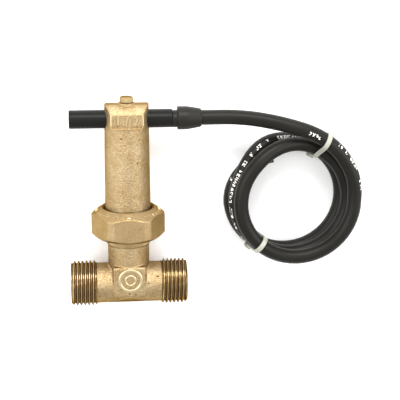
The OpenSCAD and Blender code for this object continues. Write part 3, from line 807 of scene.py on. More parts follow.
class FLOWSWITCH_OT_cable(bpy.types.Operator):
    """Add the boot, the coiled cable, its bare cores and its two ties"""

    bl_idname = "flowswitch.cable"
    bl_label = "Cable"

    def execute(self, context):
        look = context.scene.flowswitch_cable
        path = cable_path(look.coil_radius / MM)
        cable = tube(
            "cable", path, look.diameter / 2, CABLE_SIDES, printed_jacket(look),
            roll=lambda run: math.radians(track(MARK_ROLL, run / MM)),
            printed=[(start * MM, end * MM) for start, end in MARKED],
        )
        settle(cable, "probe", "cable_jacket", "cable_lead", "cable_coil")
        boot = self.boot(look)
        cores = self.cores(path)
        # off-white nylon, satin and faintly milky where light gets into its edges
        nylon = moulded("moulded_nylon_tie", look.tie, srgb("#9C9C90"), 0.38, 0.8, 0.02,
                        Subsurface_Weight=0.15, Subsurface_Scale=0.001)
        ties = [self.tie(look, nylon, *tie) for tie in TIES]
        round(path_length(path), 4)
        [tuple(p) for p in path]
        return {"FINISHED"}

    def boot(self, look):
        """Tapered rubber boot around the cable where it leaves the probe."""
        start, end = widths("cable_boot")
        tube_end = widths("probe_tube")[1]
        low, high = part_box("cable_boot")
        wide_r, tube_r = (high.z - low.z) / MM / 2, half_height("probe_tube")
        cable_r = look.diameter / MM / 2
        plug_r, neck_r = tube_r - PLUG_STEP, tube_r - NECK_STEP
        neck_end = tube_end + NECK_LENGTH
        outline = rounded([
            (AXIS_R, start), (plug_r, start), (plug_r, tube_end + 0.01), (neck_r, tube_end + 0.02),
            (neck_r, neck_end), (wide_r, neck_end), (wide_r, neck_end + WIDE_RIM),
            (wide_r, neck_end + WIDE_LENGTH), (cable_r + CONE_FOOT, end - BLUNT_END),
            (cable_r + CONE_LIP, end), (cable_r + AXIS_R, end),
            (cable_r + AXIS_R, end - BOOT_HOLE), (AXIS_R, end - BOOT_HOLE),
        ], 0.4)

        def place(radius, angle, along):
            # the neck hangs level with the tube's underside, so its step shows on top only
            in_neck = smooth((along - tube_end + 0.2) / 0.2) * (
                1 - smooth((along - neck_end + 0.1) / 0.1))
            return on_probe(radius, angle, along, -NECK_STEP * in_neck)

        boot = lathe("boot", outline, place, sides=64)
        # moulded synthetic rubber: warm near-black, duller than the tube beside it
        rubber = moulded("moulded_rubber_boot", look.boot, srgb("#191712"), 0.45, 1.0, 0.02,
                         Specular_IOR_Level=0.2)
        finish_mesh(boot, "boot", 35, rubber)
        return settle(boot, "probe", "boot_rubber", "cable_boot")

    def cores(self, path):
        """Two insulated cores with bare copper tips, tucked under the coil."""
        made = []
        for hue, side, text in CORES:
            line = [path[-1] / MM + Vector((0, 0, -CORE_LIFT * side))]
            for angle, radius, height in CORE_WAY:
                reach, turn = radius + CORE_SPREAD * (side - 1), math.radians(angle)
                line.append(Vector((CORE_CENTRE[0] + reach * math.cos(turn),
                                    CORE_CENTRE[1] + reach * math.sin(turn), height)))
            fine = [p * MM for p in smooth_line(line, 6)]
            # extruded core insulation: one flat, clean colour with a soft gloss
            insulation = moulded("core_insulation_" + hue, srgb(text), srgb(text), 0.4, 1.0,
                                 0.01)
            core = tube("core_end_" + hue, fine[:-4], CORE_R * MM, 12, insulation)
            settle(core, "probe", "core_" + hue)
            # stranded copper: warm orange metal, bright where it was cut fresh
            copper = bare_metal("stranded_copper_" + hue, srgb("#D98F5E"), srgb("#B8693C"), 0.5,
                                0.05, 0.35)
            tip = tube("copper_" + hue, fine[-6:], COPPER_R * MM, 10, copper)
            settle(tip, "probe", "reed_metal")
            made += [core, tip]
        return made

    def tie(self, look, nylon, name, node, angle, side, strands):
        """Nylon tie pulled tight around some strands, with its flat head on the first one."""
        half = look.tie_thickness / MM / 2
        reach = look.diameter / MM / 2 + half
        spokes = [math.radians(a) for a in range(0, 360, 6)]
        cloud = [Vector((r + reach * math.cos(a), LAYERS[layer][1] + reach * math.sin(a)))
                 for r, layer in strands for a in spokes]
        line = [cloud[i] for i in convex_hull_2d(cloud)]
        centre = sum(line, Vector((0, 0))) / len(line)
        turn = Matrix.Rotation(math.radians(angle), 3, "Z")
        middle = Vector((*COIL_CENTRE, 0))
        section = strap_section(look.tie_width / MM / 2, half, 0.35)
        rings = []
        for i, p in enumerate(line):
            way = (line[i - 1] - line[(i + 1) % len(line)]).normalized()
            out = Vector((-way.y, way.x))
            if out.dot(p - centre) < 0:
                out = -out
            rings.append([(middle + turn @ Vector((p.x + out.x * t, w, p.y + out.y * t))) * MM
                          for w, t in section])
        band = skin(name, rings, loop=True)
        radius, layer = strands[0]
        head_r = radius + side * (look.diameter / MM / 2 + 2 * half / 3 + HEAD.x)
        corners = [(middle + turn @ Vector((head_r + a * HEAD.x, b * HEAD.y,
                                            LAYERS[layer][1] + c * HEAD.z))) * MM
                   for a in (-1, 1) for b in (-1, 1) for c in (-1, 1)]
        head = bevel(piece(name + "_head", corners, BOX_FACES), 0.35 * MM)
        combine(band, [head], "UNION")
        finish_mesh(band, name, 40, nylon)
        return settle(band, "probe", "nylon", node)


# ---------------------------------------------------------------- tee

# radii of the run, the branch, the waterway and the union thread
RUN_R, BRANCH_R, WATERWAY_R, UNION_R = 9.4, 9.55, 7.5, 13.22
PIPE_THREAD, UNION_THREAD = 12, 7.9
# bevels on a thread's free end and on the pipe threads' inner end
FREE_BEVEL, INNER_BEVEL = 1.2, 0.8
# turned collar under the union thread, and the groove that the tool leaves below it
COLLAR, COLLAR_STEP, GROOVE, GROOVE_DEPTH = 3.4, 0.45, 0.5, 0.35
# pads: half width, distance from the axis, foot and top
PAD_HALF, PAD_DEPTH, PAD_HEIGHTS = 7.7, 9.9, (-4.5, 10.4)
# raised rings on the front pad: their middle, and radius, half width and relief of each
RING_MIDDLE = (0.4, 3.95)
RINGS = [(5.0, 0.8, 0.5), (2.3, 0.5, 0.4)]
# how far pieces run into each other to join, and past each other to cut
INTO, PAST = 0.3, 1
MOUTH_CHAMFER = 0.6


def thread_level(phase):
    """Height of a pipe thread between root, 0, and crest, 1, at a phase of its pitch."""
    ridge = abs(2 * (phase % 1.0) - 1)
    flank = 1.5 * ridge - 0.25
    return smooth(flank) * 0.6 + min(max(flank, 0), 1) * 0.4


def threaded(crest, depth, pitch, start, end, bevels, step=0.13):
    """Outline of a right-hand thread between two stations, with a cone at each end."""
    outline = []
    for s in steps(start, end, step):
        cones = [crest - (bevels[0] - (s - start)), crest - (bevels[1] - (end - s))]

        def radius(a, s=s, cones=cones):
            level = thread_level(s / pitch - a / (2 * math.pi))
            return min(crest - depth * (1 - level), *cones)

        outline.append((radius, s))
    return [(AXIS_R, start)] + outline + [(AXIS_R, end)]


def casting_brasses(look):
    """Brass of the castings, as cast and as cut, made once for the tee and the bonnet."""
    made = [bpy.data.materials.get(name) for name in ("sand_cast_brass", "turned_brass")]
    if all(made):
        return made
    # sand cast and tumbled: dimpled like orange peel, straw-coloured, with a few dark pits
    cast = bare_metal("sand_cast_brass", look.light, look.dark, look.grain / MM, 0.42, 0.4,
                      pits=0.8)
    # turned: smoother and brighter, with painted shade darkening the thread's roots
    cut = bare_metal("turned_brass", look.cut, look.dark, 0.6, 0.03, 0.3, thread_shade=0.55)
    return cast, cut


def painted_highlight_brass():
    """Brass of the raised marks, made once: their tops are painted paler than the skin, as a
    painted highlight.
    """
    # painted highlight: pale brass that the tops of the raised marks are given
    return bpy.data.materials.get("painted_highlight_brass") or bare_metal(
        "painted_highlight_brass", srgb("#D6C49E"), srgb("#C8B388"), 0.5, 0.04, 0.34)


class FLOWSWITCH_OT_tee(bpy.types.Operator):
    """Add the cast tee with its turned pipe threads and union thread"""

    bl_idname = "flowswitch.tee"
    bl_label = "Tee"

    def execute(self, context):
        look = context.scene.flowswitch_casting
        start, end = widths("tee_body")
        top = heights("tee_body")[1]
        thread_start, union_start = end - PIPE_THREAD, top - UNION_THREAD
        body = bar("tee", RUN_R, -thread_start - INTO, thread_start + INTO, on_pipe)
        branch = bar("branch", BRANCH_R, 0, union_start, on_stem)
        pad = block("pad", (-PAD_HALF, PAD_HALF), (-PAD_DEPTH, PAD_DEPTH), PAD_HEIGHTS)
        combine(body, [branch, bevel(pad, 1.0 * MM)], "UNION")
        soften(body, look.corner, 2)
        rings = [self.ring(*ring) for ring in RINGS]
        combine(body, rings + self.turned_parts(look, thread_start, end, union_start, top),
                "UNION")
        combine(body, self.cuts(start, end, union_start, top), "DIFFERENCE")
        finish_mesh(body, "tee", 30, *casting_brasses(look), painted_highlight_brass())
        bored = WATERWAY_R + 0.2

        def turned(point):
            x, depth, height = upright(point)
            return (abs(x) > thread_start or math.hypot(depth, height) < bored
                    or height > union_start - COLLAR - 0.1 or math.hypot(x, depth) < bored)

        # painted highlight: the raised rings on the front pad get the paler brass
        def highlit(point):
            x, depth, height = upright(point)
            return (depth < -PAD_DEPTH - 0.15 and abs(x) < PAD_HALF
                    and PAD_HEIGHTS[0] < height < PAD_HEIGHTS[1])

        paint_where(body, 1, turned)
        paint_where(body, 2, highlit)
        settle(body, "tee", "cast_brass", "tee_body")
        return {"FINISHED"}

    def turned_parts(self, look, thread_start, end, union_start, top):
        """Collar, union thread and the two pipe threads."""
        collar = lathe("collar", rounded(
            bar_outline(BRANCH_R + COLLAR_STEP, union_start - COLLAR, union_start + 0.1), 0.2, 3),
            on_stem)
        depth, pitch = look.thread_depth / MM, look.pitch / MM
        union = threaded(UNION_R, depth, pitch, union_start, top, (FREE_BEVEL, FREE_BEVEL))
        parts = [collar, lathe("union", union, on_stem, sides=128)]
        pipe_r = MOUNTS["inlet_thread"]["dims"]["r_mm"]
        for first, last, bevels in ((-end, -thread_start, (FREE_BEVEL, INNER_BEVEL)),
                                    (thread_start, end, (INNER_BEVEL, FREE_BEVEL))):
            thread = threaded(pipe_r, depth, pitch, first, last, bevels)
            parts.append(lathe("pipe_end", thread, on_pipe, sides=128))
        return parts

    def cuts(self, start, end, union_start, top):
        """Space of the waterway with its two mouths, of the branch's bore and of the groove."""
        flare = WATERWAY_R + PAST + MOUTH_CHAMFER
        bore = lathe("bore", [
            (AXIS_R, start - PAST), (flare, start - PAST), (WATERWAY_R, start + MOUTH_CHAMFER),
            (WATERWAY_R, end - MOUTH_CHAMFER), (flare, end + PAST), (AXIS_R, end + PAST),
        ], on_pipe)
        way = bar("way", WATERWAY_R, 0, top + PAST, on_stem)
        inner, outer = BRANCH_R - GROOVE_DEPTH, BRANCH_R + 1.5
        high = union_start - COLLAR
        groove = lathe("groove", [(inner, high - GROOVE), (outer, high - GROOVE), (outer, high),
                                  (inner, high)], on_stem, loop=True)
        return [bore, way, groove]

    def ring(self, radius, half_width, relief):
        """Raised round-topped ring on the front pad."""
        sides, parts = 64, 12
        rings = []
        for k in range(sides):
            a = 2 * math.pi * k / sides
            rings.append([laid(RING_MIDDLE[0] + (radius + half_width * math.cos(b)) * math.cos(a),
                               0.05 - PAD_DEPTH - relief * math.sin(b),
                               RING_MIDDLE[1] + (radius + half_width * math.cos(b)) * math.sin(a))
                          for b in (2 * math.pi * j / parts for j in range(parts))])
        return skin("ring", rings, loop=True)


# ---------------------------------------------------------------- union nut

# heights of the cones on the nut's top and foot, and depth of the CAD's lip
TOP_CONE, FOOT_CONE, NUT_LIP = 3.3, 1.9, 2.5
# radii of the nut's foot, of its mouth, of the lip's hole and of the thread's bore
FOOT, MOUTH, LIP_R, NUT_BORE = 14.0, 12.2, 11.2, 13.3
# how far the corners stay inside the CAD's box, and what the lip stays clear of the flange
CORNER_INSET, NUT_GAP = 0.07, 0.05
# raised marks: a stroke's radius, how deep it sits in the cone and the seed of its turn
MARK_R, MARK_SINK, MARK_SEED = 0.24, 0.06, 11


def hexagon(flat, corner, first_corner, cones, blend):
    """Radius of a hexagon with cut corners, as a function of angle, under a height's cones."""

    def radius(a):
        toward_flat = (math.degrees(a) - first_corner) % 60 - 30
        toward_corner = (math.degrees(a) - first_corner + 30) % 60 - 30
        return soft_min([flat / math.cos(math.radians(toward_flat)),
                         corner / math.cos(math.radians(toward_corner)), *cones], blend)

    return radius


class FLOWSWITCH_OT_nut(bpy.types.Operator):
    """Add the union nut with the raised marks on its cone"""

    bl_idname = "flowswitch.nut"
    bl_label = "Union nut"

    def execute(self, context):
        look = context.scene.flowswitch_nut
        bottom, top = heights("union_nut")
        ledge = top - NUT_LIP + NUT_GAP
        corner = widths("union_nut")[1] - CORNER_INSET
        flat = -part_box("union_nut")[0].z / MM + PIPE_AXIS.z / MM
        outline = []
        for h in steps(bottom, top, 0.22):
            cones = [MOUTH + (top - h) * (corner - MOUTH) / TOP_CONE,
                     FOOT + (h - bottom) * (corner - FOOT) / FOOT_CONE]
            outline.append((hexagon(flat, corner, 0, cones, look.edge / MM), h))
        outline += [(MOUTH - 0.25, top), (LIP_R + 0.1, top - 0.75), (LIP_R, top - 0.95),
                    (LIP_R, ledge), (NUT_BORE, ledge), (NUT_BORE, bottom + 0.5),
                    (FOOT - 0.3, bottom)]
        nut = lathe("union_nut_body", outline, on_stem, sides=240, loop=True)
        # hot forged: a finer, duller skin than the castings', a shade darker, with few pits
        forged = bare_metal("forged_brass_nut", look.body, srgb("#9C8257"), 0.6, 0.2, 0.44,
                            pits=0.3)
        finish_mesh(nut, "union_nut_body", 28, forged)
        settle(nut, "nut", "nut_brass", "union_nut")
        # the raised marks get the paler brass of the painted highlight
        self.marks(look, top, corner, painted_highlight_brass())
        return {"FINISHED"}

    def marks(self, look, top, corner, material):
        """Raised plain strokes around the nut's upper cone."""
        middle = (corner + MOUTH) / 2
        lean = math.atan2(corner - MOUTH, TOP_CONE)
        tree, sockets = new_tree("nut_marks", {
            "Count": ("NodeSocketInt", look.marks), "Stroke": ("NodeSocketFloat", look.mark_size),
            "Stroke radius": ("NodeSocketFloat", MARK_R * MM),
            "Circle radius": ("NodeSocketFloat", (middle - MARK_SINK) * MM),
            "Material": ("NodeSocketMaterial", material), "Seed": ("NodeSocketInt", MARK_SEED),
        })
        use = tree.nodes["Group Input"].outputs
        circle = add(tree, "GeometryNodeMeshCircle", {},
                     {"Vertices": use["Count"], "Radius": use["Circle radius"]})
        half = add(tree, "ShaderNodeMath", {1: 0.5}, {0: use["Stroke"]}, operation="MULTIPLY")
        to = add(tree, "ShaderNodeCombineXYZ", {}, {"X": half.outputs[0]})
        back = add(tree, "ShaderNodeVectorMath", {"Scale": -1.0}, {0: to.outputs[0]},
                   operation="SCALE")
        line = add(tree, "GeometryNodeCurvePrimitiveLine", {},
                   {"Start": back.outputs[0], "End": to.outputs[0]})
        section = add(tree, "GeometryNodeCurvePrimitiveCircle", {"Resolution": 8},
                      {"Radius": use["Stroke radius"]})
        stroke = add(tree, "GeometryNodeCurveToMesh", {"Fill Caps": True},
                     {"Curve": line.outputs[0], "Profile Curve": section.outputs[0]})
        here = add(tree, "GeometryNodeInputPosition")
        out = add(tree, "ShaderNodeVectorMath", {}, {0: here.outputs[0]}, operation="NORMALIZE")
        side = add(tree, "ShaderNodeVectorMath", {"Scale": math.cos(lean)}, {0: out.outputs[0]},
                   operation="SCALE")
        facing = add(tree, "ShaderNodeVectorMath", {1: (0, 0, math.sin(lean))},
                     {0: side.outputs[0]}, operation="ADD")
        aim = add(tree, "FunctionNodeAlignRotationToVector", {}, {"Vector": facing.outputs[0]},
                  axis="Z")
        placed = add(tree, "GeometryNodeInstanceOnPoints", {},
                     {"Points": circle.outputs[0], "Instance": stroke.outputs[0],
                      "Rotation": aim.outputs[0]})
        spin = add(tree, "FunctionNodeRandomValue",
                   {"Min": (0, 0, -1.5), "Max": (0, 0, 1.5)}, {"Seed": use["Seed"]},
                   data_type="FLOAT_VECTOR")
        turned = add(tree, "GeometryNodeRotateInstances", {"Local Space": True},
                     {"Instances": placed.outputs[0], "Rotation": spin.outputs[0]})
        close_tree(tree, turned.outputs[0], laid(0, 0, top - TOP_CONE / 2), (-math.pi / 2, 0, 0))
        obj = grow("nut_marks", tree, sockets)
        settle(finish_mesh(obj, "nut_marks", 40, material), "nut", "nut_brass")


# ---------------------------------------------------------------- geometry nodes


def new_tree(name, inputs):
    """Geometry tree with named inputs; gives it and its inputs' sockets and values."""
    tree = bpy.data.node_groups.new(name, "GeometryNodeTree")
    sockets = []
    for label, (kind, value) in inputs.items():
        socket = tree.interface.new_socket(label, in_out="INPUT", socket_type=kind)
        sockets.append((socket.identifier, value))
    tree.interface.new_socket("Geometry", in_out="OUTPUT", socket_type="NodeSocketGeometry")
    add(tree, "NodeGroupInput").name = "Group Input"
    return tree, sockets


def close_tree(tree, geometry, place, turn):
    """Ends a geometry tree: lays the result in place, realizes it and sets its material."""
    moved = add(tree, "GeometryNodeTransform", {"Translation": place, "Rotation": turn},
                {"Geometry": geometry})
    real = add(tree, "GeometryNodeRealizeInstances", {}, {"Geometry": moved.outputs[0]})
    finish = add(tree, "GeometryNodeSetMaterial", {},
                 {"Geometry": real.outputs[0],
                  "Material": tree.nodes["Group Input"].outputs["Material"]})
    add(tree, "NodeGroupOutput", {}, {"Geometry": finish.outputs[0]})


def grow(name, tree, sockets):
    """Plain mesh that a geometry tree makes with the given input values."""
    obj = piece(name, [], [])
    modifier = obj.modifiers.new(name, "NODES")
    modifier.node_group = tree
    for identifier, value in sockets:
        modifier[identifier] = value
    return bake(obj)


# ---------------------------------------------------------------- inner pieces

# return spring: radius of its wire and of its turns, and how many turns
WIRE_R, WOUND_R, SPRING_TURNS = 0.22, 1.6, 4.5


class FLOWSWITCH_OT_spring(bpy.types.Operator):
    """Add the return spring that is wound around the lever's pin"""

    bl_idname = "flowswitch.spring"
    bl_label = "Return spring"

    def execute(self, context):
        low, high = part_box("return_spring")
        pin = (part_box("pivot_pin")[0].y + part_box("pivot_pin")[1].y) / 2
        # drawn spring wire: grey and evenly bright, with no grain that shows
        material = bare_metal("spring_steel", srgb("#A9A8A4"), srgb("#8F8E8A"), 0.4, 0.01, 0.3)
        tree, sockets = new_tree("return_spring", {
            "Turns": ("NodeSocketFloat", SPRING_TURNS),
            "Radius": ("NodeSocketFloat", WOUND_R * MM),
            "Length": ("NodeSocketFloat", high.z - low.z - 2 * WIRE_R * MM),
            "Leg": ("NodeSocketFloat", high.y - pin), "Wire": ("NodeSocketFloat", WIRE_R * MM),
            "Material": ("NodeSocketMaterial", material),
        })
        use = tree.nodes["Group Input"].outputs
        wound = add(tree, "GeometryNodeCurveSpiral", {"Resolution": 32},
                    {"Rotations": use["Turns"], "Start Radius": use["Radius"],
                     "End Radius": use["Radius"], "Height": use["Length"]})
        curves = [wound.outputs[0]]
        foot = add(tree, "ShaderNodeCombineXYZ", {}, {"X": use["Radius"]})
        opposite = add(tree, "ShaderNodeVectorMath", {"Scale": -1.0}, {0: foot.outputs[0]},
                       operation="SCALE")
        raised = add(tree, "ShaderNodeCombineXYZ", {}, {"Z": use["Length"]})
        far = add(tree, "ShaderNodeVectorMath", {},
                  {0: opposite.outputs[0], 1: raised.outputs[0]}, operation="ADD")
        tip = add(tree, "ShaderNodeCombineXYZ", {}, {"Y": use["Leg"]})
        for start in (foot, far):
            end = add(tree, "ShaderNodeVectorMath", {}, {0: start.outputs[0], 1: tip.outputs[0]},
                      operation="ADD")
            leg = add(tree, "GeometryNodeCurvePrimitiveLine", {},
                      {"Start": start.outputs[0], "End": end.outputs[0]})
            curves.append(leg.outputs[0])
        wire = add(tree, "GeometryNodeJoinGeometry")
        for curve in curves:
            tree.links.new(curve, wire.inputs[0])
        section = add(tree, "GeometryNodeCurvePrimitiveCircle", {"Resolution": 8},
                      {"Radius": use["Wire"]})
        swept = add(tree, "GeometryNodeCurveToMesh", {"Fill Caps": True},
                    {"Curve": wire.outputs[0], "Profile Curve": section.outputs[0]})
        close_tree(tree, swept.outputs[0], Vector((0, pin, low.z + WIRE_R * MM)), (0, 0, 0))
        obj = grow("wound_spring", tree, sockets)
        finish_mesh(obj, "wound_spring", 50, material)
        settle(obj, "bonnet", "steel", "return_spring")
        return {"FINISHED"}


class FLOWSWITCH_OT_finishes(bpy.types.Operator):
    """Give the pieces that keep their CAD shape their real finishes"""

    bl_idname = "flowswitch.finishes"
    bl_label = "Inner pieces"

    def execute(self, context):
        # pressed fibre: dull red-brown and felty
        fibre = moulded("pressed_fibre_gasket", srgb("#8A5A44"), srgb("#6E4434"), 0.8, 0.5, 0.05)
        # moulded acetal: plain black with a low, even gloss
        acetal = moulded("moulded_black_acetal", srgb("#262626"), srgb("#1C1C1D"), 0.4, 1.0, 0.01)
        # rolled stainless steel: pale grey with faint streaks along the sheet
        steel = bare_metal("stainless_steel", srgb("#B5B4B0"), srgb("#9A9995"), 0.5, 0.02, 0.32,
                           stretch=(1, 0.1, 1))
        # sintered ferrite: charcoal, slightly grainy, hardly shiny
        ferrite = moulded("sintered_ferrite", srgb("#3B3B3D"), srgb("#2C2C2E"), 0.55, 0.4, 0.02)
        # turned nylon: off-white with a soft gloss
        nylon = moulded("turned_nylon", context.scene.flowswitch_cable.tie, srgb("#B4B4A6"), 0.4,
                        0.8, 0.02)
        # drawn glass: clear and very smooth, with a green cast
        glass = moulded("reed_glass", srgb("#DDEBE4"), srgb("#D2E4DC"), 0.05, 2.0, 0.002,
                        Transmission_Weight=0.9)
        # nickel iron ribbon: warm silver, bright and smooth
        contact = bare_metal("nickel_iron_reed", srgb("#C4C0B4"), srgb("#A8A498"), 0.3, 0.01,
                             0.25)
        # cast epoxy: blue-black and glossy
        resin = moulded("epoxy_potting", srgb("#2A2A2E"), srgb("#1E1E22"), 0.25, 1.5, 0.01)
        # extruded core insulation: plain brown and blue with a soft gloss
        brown = moulded("brown_core", srgb("#6B3A1E"), srgb("#5A2F18"), 0.4, 0.8, 0.01)
        blue = moulded("blue_core", srgb("#1F4C8C"), srgb("#183E75"), 0.4, 0.8, 0.01)
        kept = {
            fibre: ["flat_gasket"],
            acetal: ["pivot_carrier", "magnet_cup"],
            steel: ["pivot_pin", "lever_arm", "paddle_blade", "blade_rivets"],
            ferrite: ["magnet"],
            nylon: ["screw_tip"],
            glass: ["reed_capsule"],
            contact: ["reed_blades"],
            resin: ["potting"],
            brown: ["core_brown"],
            blue: ["core_blue"],
        }
        for material, nodes in kept.items():
            for node in nodes:
                frame["nodes"][node].material_slots[0].material = material
        return {"FINISHED"}


# ---------------------------------------------------------------- bonnet

# flange, the barrel's radius above it and at its top, and the head's rounding over the probe
FLANGE_R, FLANGE, BARREL_R, BARREL_TOP_R, HEAD_R = 11.9, 2, 10.45, 9.95, 7.5
# boss on top with its tapped hole, the chamber below and the bore for the probe
BOSS_R, BOSS, TAPPED_R = 3.8, 0.6, 2.08
CHAMBER_R, CHAMBER_TOP, PROBE_BORE = 7.5, 72.3, 4.28
# panels: distance from the axis, foot below the probe, half width and lower corners
PANEL_DEPTH, PANEL_DROP, PANEL_HALF, PANEL_CORNER = 6.9, 3.6, 7.4, 1.9
# past the bonnet's widest side
CLEAR = 14
# raised rim: its radius, how deep it sits in the barrel and where it ends below the top
RIM_R, RIM_SINK, RIM_END = 0.36, 0.1, 0.5
# raised number: its size, half its thickness, how much bolder and how much wider it is set
NUMBER_SIZE, NUMBER_RELIEF, NUMBER_BOLD, NUMBER_SPREAD = 5.4, 0.55, 0.16, 1.7


class FLOWSWITCH_OT_bonnet(bpy.types.Operator):
    """Add the cast bonnet with its barrel head, panels and bores"""

    bl_idname = "flowswitch.bonnet"
    bl_label = "Bonnet"

    def execute(self, context):
        look = context.scene.flowswitch_casting
        base, boss_top = heights("bonnet")
        top = boss_top - BOSS
        body = self.cast_body(base, top, boss_top)
        soften(body, look.corner, 2)
        wide = (-CLEAR, CLEAR)
        combine(body, [
            bar("chamber", CHAMBER_R, base - 1, CHAMBER_TOP, on_stem),
            block("seat", wide, wide, (base - 3, base)),
            bar("probe_bore", PROBE_BORE, *wide, on_probe),
            bar("tapped", TAPPED_R, PROBE_UP, top + 2, on_stem, sides=48),
        ], "DIFFERENCE")
        rim_line = self.rim(base, top)
        rim = skin("rim", sweep(rim_line, RIM_R * MM, 10))
        combine(body, [rim, self.number(look.size_mark)], "UNION")
        finish_mesh(body, "bonnet_body", 30, *casting_brasses(look), painted_highlight_brass())
        bored = PROBE_BORE + 0.07
        near = KDTree(len(rim_line))
        for i, point in enumerate(rim_line):
            near.insert(point, i)
        near.balance()

        def machined(point):
            x, depth, height = upright(point)
            return (math.hypot(depth, height - PROBE_UP) < bored or height < base + 0.05
                    or (math.hypot(x, depth) < CHAMBER_R + 0.1 and height < PROBE_UP - bored))

        # painted highlight: the raised number and the rim's bead get the paler brass
        def highlit(point):
            x, depth, height = upright(point)
            on_number = (depth < -PANEL_DEPTH - 0.2 and abs(x) < 6.2
                         and abs(height - PROBE_UP) < 2.8)
            return on_number or near.find(point)[2] < (RIM_R + 0.04) * MM

        paint_where(body, 1, machined)
        paint_where(body, 2, highlit)
        settle(body, "bonnet", "cast_brass", "bonnet")
        return {"FINISHED"}

    def cast_body(self, base, top, boss_top):
        """Flange and tapered barrel, rounded over the probe, cut flat by its two panels."""
        body = lathe("bonnet_body", [
            (AXIS_R, base), (FLANGE_R, base), (FLANGE_R, base + FLANGE),
            (BARREL_R, base + FLANGE), (BARREL_TOP_R, top), (AXIS_R, top),
        ], on_stem)
        wide = (-CLEAR, CLEAR)
        head = bar("head", HEAD_R, *wide, on_probe)
        combine(head, [block("stem", wide, wide, (base - 1, PROBE_UP))], "UNION")
        combine(body, [head], "INTERSECT")
        combine(body, [self.panel(side, top) for side in (-1, 1)], "DIFFERENCE")
        return combine(body, [bar("boss", BOSS_R, top - 2, boss_top, on_stem, sides=48)], "UNION")

    def panel(self, side, top):
        """Space in front of a cast panel, with rounded lower corners."""
        low = PROBE_UP - PANEL_DROP + PANEL_CORNER
        outline = [(PANEL_HALF, top + 3), (-PANEL_HALF, top + 3)]
        for across, start in ((-1, 180), (1, 270)):
            for a in steps(start, start + 90, 15):
                outline.append((
                    across * (PANEL_HALF - PANEL_CORNER)
                    + PANEL_CORNER * math.cos(math.radians(a)),
                    low + PANEL_CORNER * math.sin(math.radians(a))))
        return skin("panel", [[laid(x, side * d, h) for x, h in outline]
                              for d in (PANEL_DEPTH, CLEAR)])

    def rim(self, base, top):
        """Line of the raised rim: down one side of the front panel, along its foot and up."""
        foot = PROBE_UP - PANEL_DROP

        def barrel(height):
            share = (height - base) / (top - base)
            return BARREL_R + (BARREL_TOP_R - BARREL_R) * share - RIM_SINK

        side = []
        for h in steps(top - RIM_END, foot + PANEL_CORNER, 0.4):
            depth = PANEL_DEPTH
            if h > PROBE_UP:
                depth = min(depth, math.sqrt(max(HEAD_R**2 - (h - PROBE_UP) ** 2, 0.1)))
            side.append((math.sqrt(barrel(h) ** 2 - depth**2), h))
        reach = side[-1][0] - PANEL_CORNER
        for a in steps(0, 90, 15):
            side.append((reach + PANEL_CORNER * math.cos(math.radians(a)),
                         foot + PANEL_CORNER - PANEL_CORNER * math.sin(math.radians(a))))
        across = [(x, foot) for x in steps(-reach, reach, 1.0)[1:-1]]
        line = [(-x, h) for x, h in side] + across + side[::-1]
        return [laid(x, -math.sqrt(max(barrel(h) ** 2 - x * x, 0.0)), h) for x, h in line]

    def number(self, text):
        """Raised plain number on the front panel, with the soft edges of a casting."""
        words = bpy.data.curves.new("number", "FONT")
        words.body, words.size, words.extrude = text, NUMBER_SIZE * MM, NUMBER_RELIEF * MM
        words.align_x, words.align_y, words.offset = "CENTER", "CENTER", NUMBER_BOLD * MM
        words.space_character = NUMBER_SPREAD
        flat = bpy.data.objects.new("number", words)
        bpy.context.scene.collection.objects.link(flat)
        bpy.context.view_layer.update()
        mesh = bpy.data.meshes.new_from_object(
            flat.evaluated_get(bpy.context.evaluated_depsgraph_get()))
        mesh.transform(Matrix.Translation(laid(0, -PANEL_DEPTH, PROBE_UP + 0.1)))
        bpy.data.objects.remove(flat)
        raised = bpy.data.objects.new("number", mesh)
        bpy.context.scene.collection.objects.link(raised)
        return soften(raised, 0.12 * MM, 3)


# ---------------------------------------------------------------- clamp screw and probe

# clamp screw's thread: radius, depth, pitch and bevel at its tip
SCREW_R, SCREW_DEPTH, SCREW_PITCH, SCREW_BEVEL = 2.0, 0.4, 0.7, 0.4
# its hexagon head: height, half width over flats, over corners and rounding of the edges
SCREW_HEAD, SCREW_FLAT, SCREW_CORNER, SCREW_BLEND = 2.6, 3.0, 3.42, 0.12
# cones that cut the corners: radius at the top and widening downwards, then at the seat and
# widening upwards; and the radius of the flat crown
DOME_R, DOME_FALL, SEAT_R, SEAT_RISE = 2.4, 1.6 / 0.9, 2.9, 3
CROWN_R = 1.2
PROBE_WALL = 0.9


class FLOWSWITCH_OT_screw(bpy.types.Operator):
    """Add the clamp screw with its hexagon head"""

    bl_idname = "flowswitch.screw"
    bl_label = "Clamp screw"

    def execute(self, context):
        look = context.scene.flowswitch_nut
        bottom, top = heights("clamp_screw")
        seat = top - SCREW_HEAD
        outline = threaded(SCREW_R, SCREW_DEPTH, SCREW_PITCH, bottom, seat, (SCREW_BEVEL, 0.0),
                           0.07)[:-1]
        for h in steps(seat, top, 0.1):
            cones = [DOME_R + (top - h) * DOME_FALL, SEAT_R + (h - seat) * SEAT_RISE]
            outline.append((hexagon(SCREW_FLAT, SCREW_CORNER, 30, cones, SCREW_BLEND), h))
        outline += [(CROWN_R, top), (AXIS_R, top)]
        screw = lathe("clamp_screw_body", outline, on_stem)
        # turned from bar: a little duller and browner than the castings, finely grained
        turned = bare_metal("turned_brass_screw", look.screw, srgb("#97815A"), 0.5, 0.05, 0.36)
        finish_mesh(screw, "clamp_screw_body", 32, turned)
        settle(screw, "clamp_screw", "screw_brass", "clamp_screw")
        return {"FINISHED"}


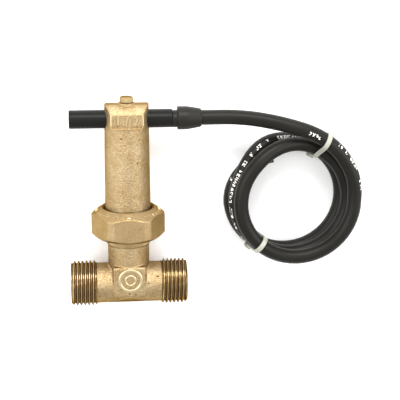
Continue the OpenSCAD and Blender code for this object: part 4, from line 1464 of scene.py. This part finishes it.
class FLOWSWITCH_OT_probe(bpy.types.Operator):
    """Add the probe's black tube"""

    bl_idname = "flowswitch.probe"
    bl_label = "Probe"

    def execute(self, context):
        look = context.scene.flowswitch_cable
        start, end = widths("probe_tube")
        outer = half_height("probe_tube")
        inner = outer - PROBE_WALL
        outline = rounded([
            (AXIS_R, start), (outer, start), (outer, end), (inner, end),
            (inner, start + PROBE_WALL), (AXIS_R, start + PROBE_WALL),
        ], 0.45, 5)
        case = lathe("probe_case", outline, on_probe)
        # moulded polyamide: neutral black, smooth, with a soft even sheen
        black = moulded("moulded_polyamide_tube", look.tube, srgb("#10100E"), 0.4, 0.9, 0.02,
                        Specular_IOR_Level=0.15)
        finish_mesh(case, "probe_case", 35, black)
        settle(case, "probe", "probe_plastic", "probe_tube")
        return {"FINISHED"}


# ---------------------------------------------------------------- add-on


class FLOWSWITCH_PT_panel(bpy.types.Panel):
    """Lists the pieces of the flow switch and their settings"""

    bl_label = "Flow Switch"
    bl_idname = "FLOWSWITCH_PT_panel"
    bl_space_type = "VIEW_3D"
    bl_region_type = "UI"
    bl_category = "Flow Switch"

    def draw(self, context):
        for name, group in SETTINGS.items():
            box = self.layout.box()
            for key in group.__annotations__:
                box.prop(getattr(context.scene, name), key)
        for operator in OPERATORS:
            self.layout.operator(operator.bl_idname)


SETTINGS = {
    "flowswitch_casting": CastingSettings,
    "flowswitch_nut": NutSettings,
    "flowswitch_cable": CableSettings,
    "flowswitch_stage": StageSettings,
}
# in the order that they are called: the camera and the cable come first
OPERATORS = (
    FLOWSWITCH_OT_stage,
    FLOWSWITCH_OT_cable,
    FLOWSWITCH_OT_tee,
    FLOWSWITCH_OT_nut,
    FLOWSWITCH_OT_bonnet,
    FLOWSWITCH_OT_screw,
    FLOWSWITCH_OT_probe,
    FLOWSWITCH_OT_spring,
    FLOWSWITCH_OT_finishes,
)


def register():
    for group in (*SETTINGS.values(), *OPERATORS, FLOWSWITCH_PT_panel):
        bpy.utils.register_class(group)
    for name, group in SETTINGS.items():
        setattr(bpy.types.Scene, name, bpy.props.PointerProperty(type=group))


def unregister():
    for name in SETTINGS:
        delattr(bpy.types.Scene, name)
    for group in reversed((*SETTINGS.values(), *OPERATORS, FLOWSWITCH_PT_panel)):
        bpy.utils.unregister_class(group)


def main():
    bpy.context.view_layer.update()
    register()
    for operator in OPERATORS:
        group, name = operator.bl_idname.split(".")
        getattr(getattr(bpy.ops, group), name)()


if __name__ == "__main__":
    main()
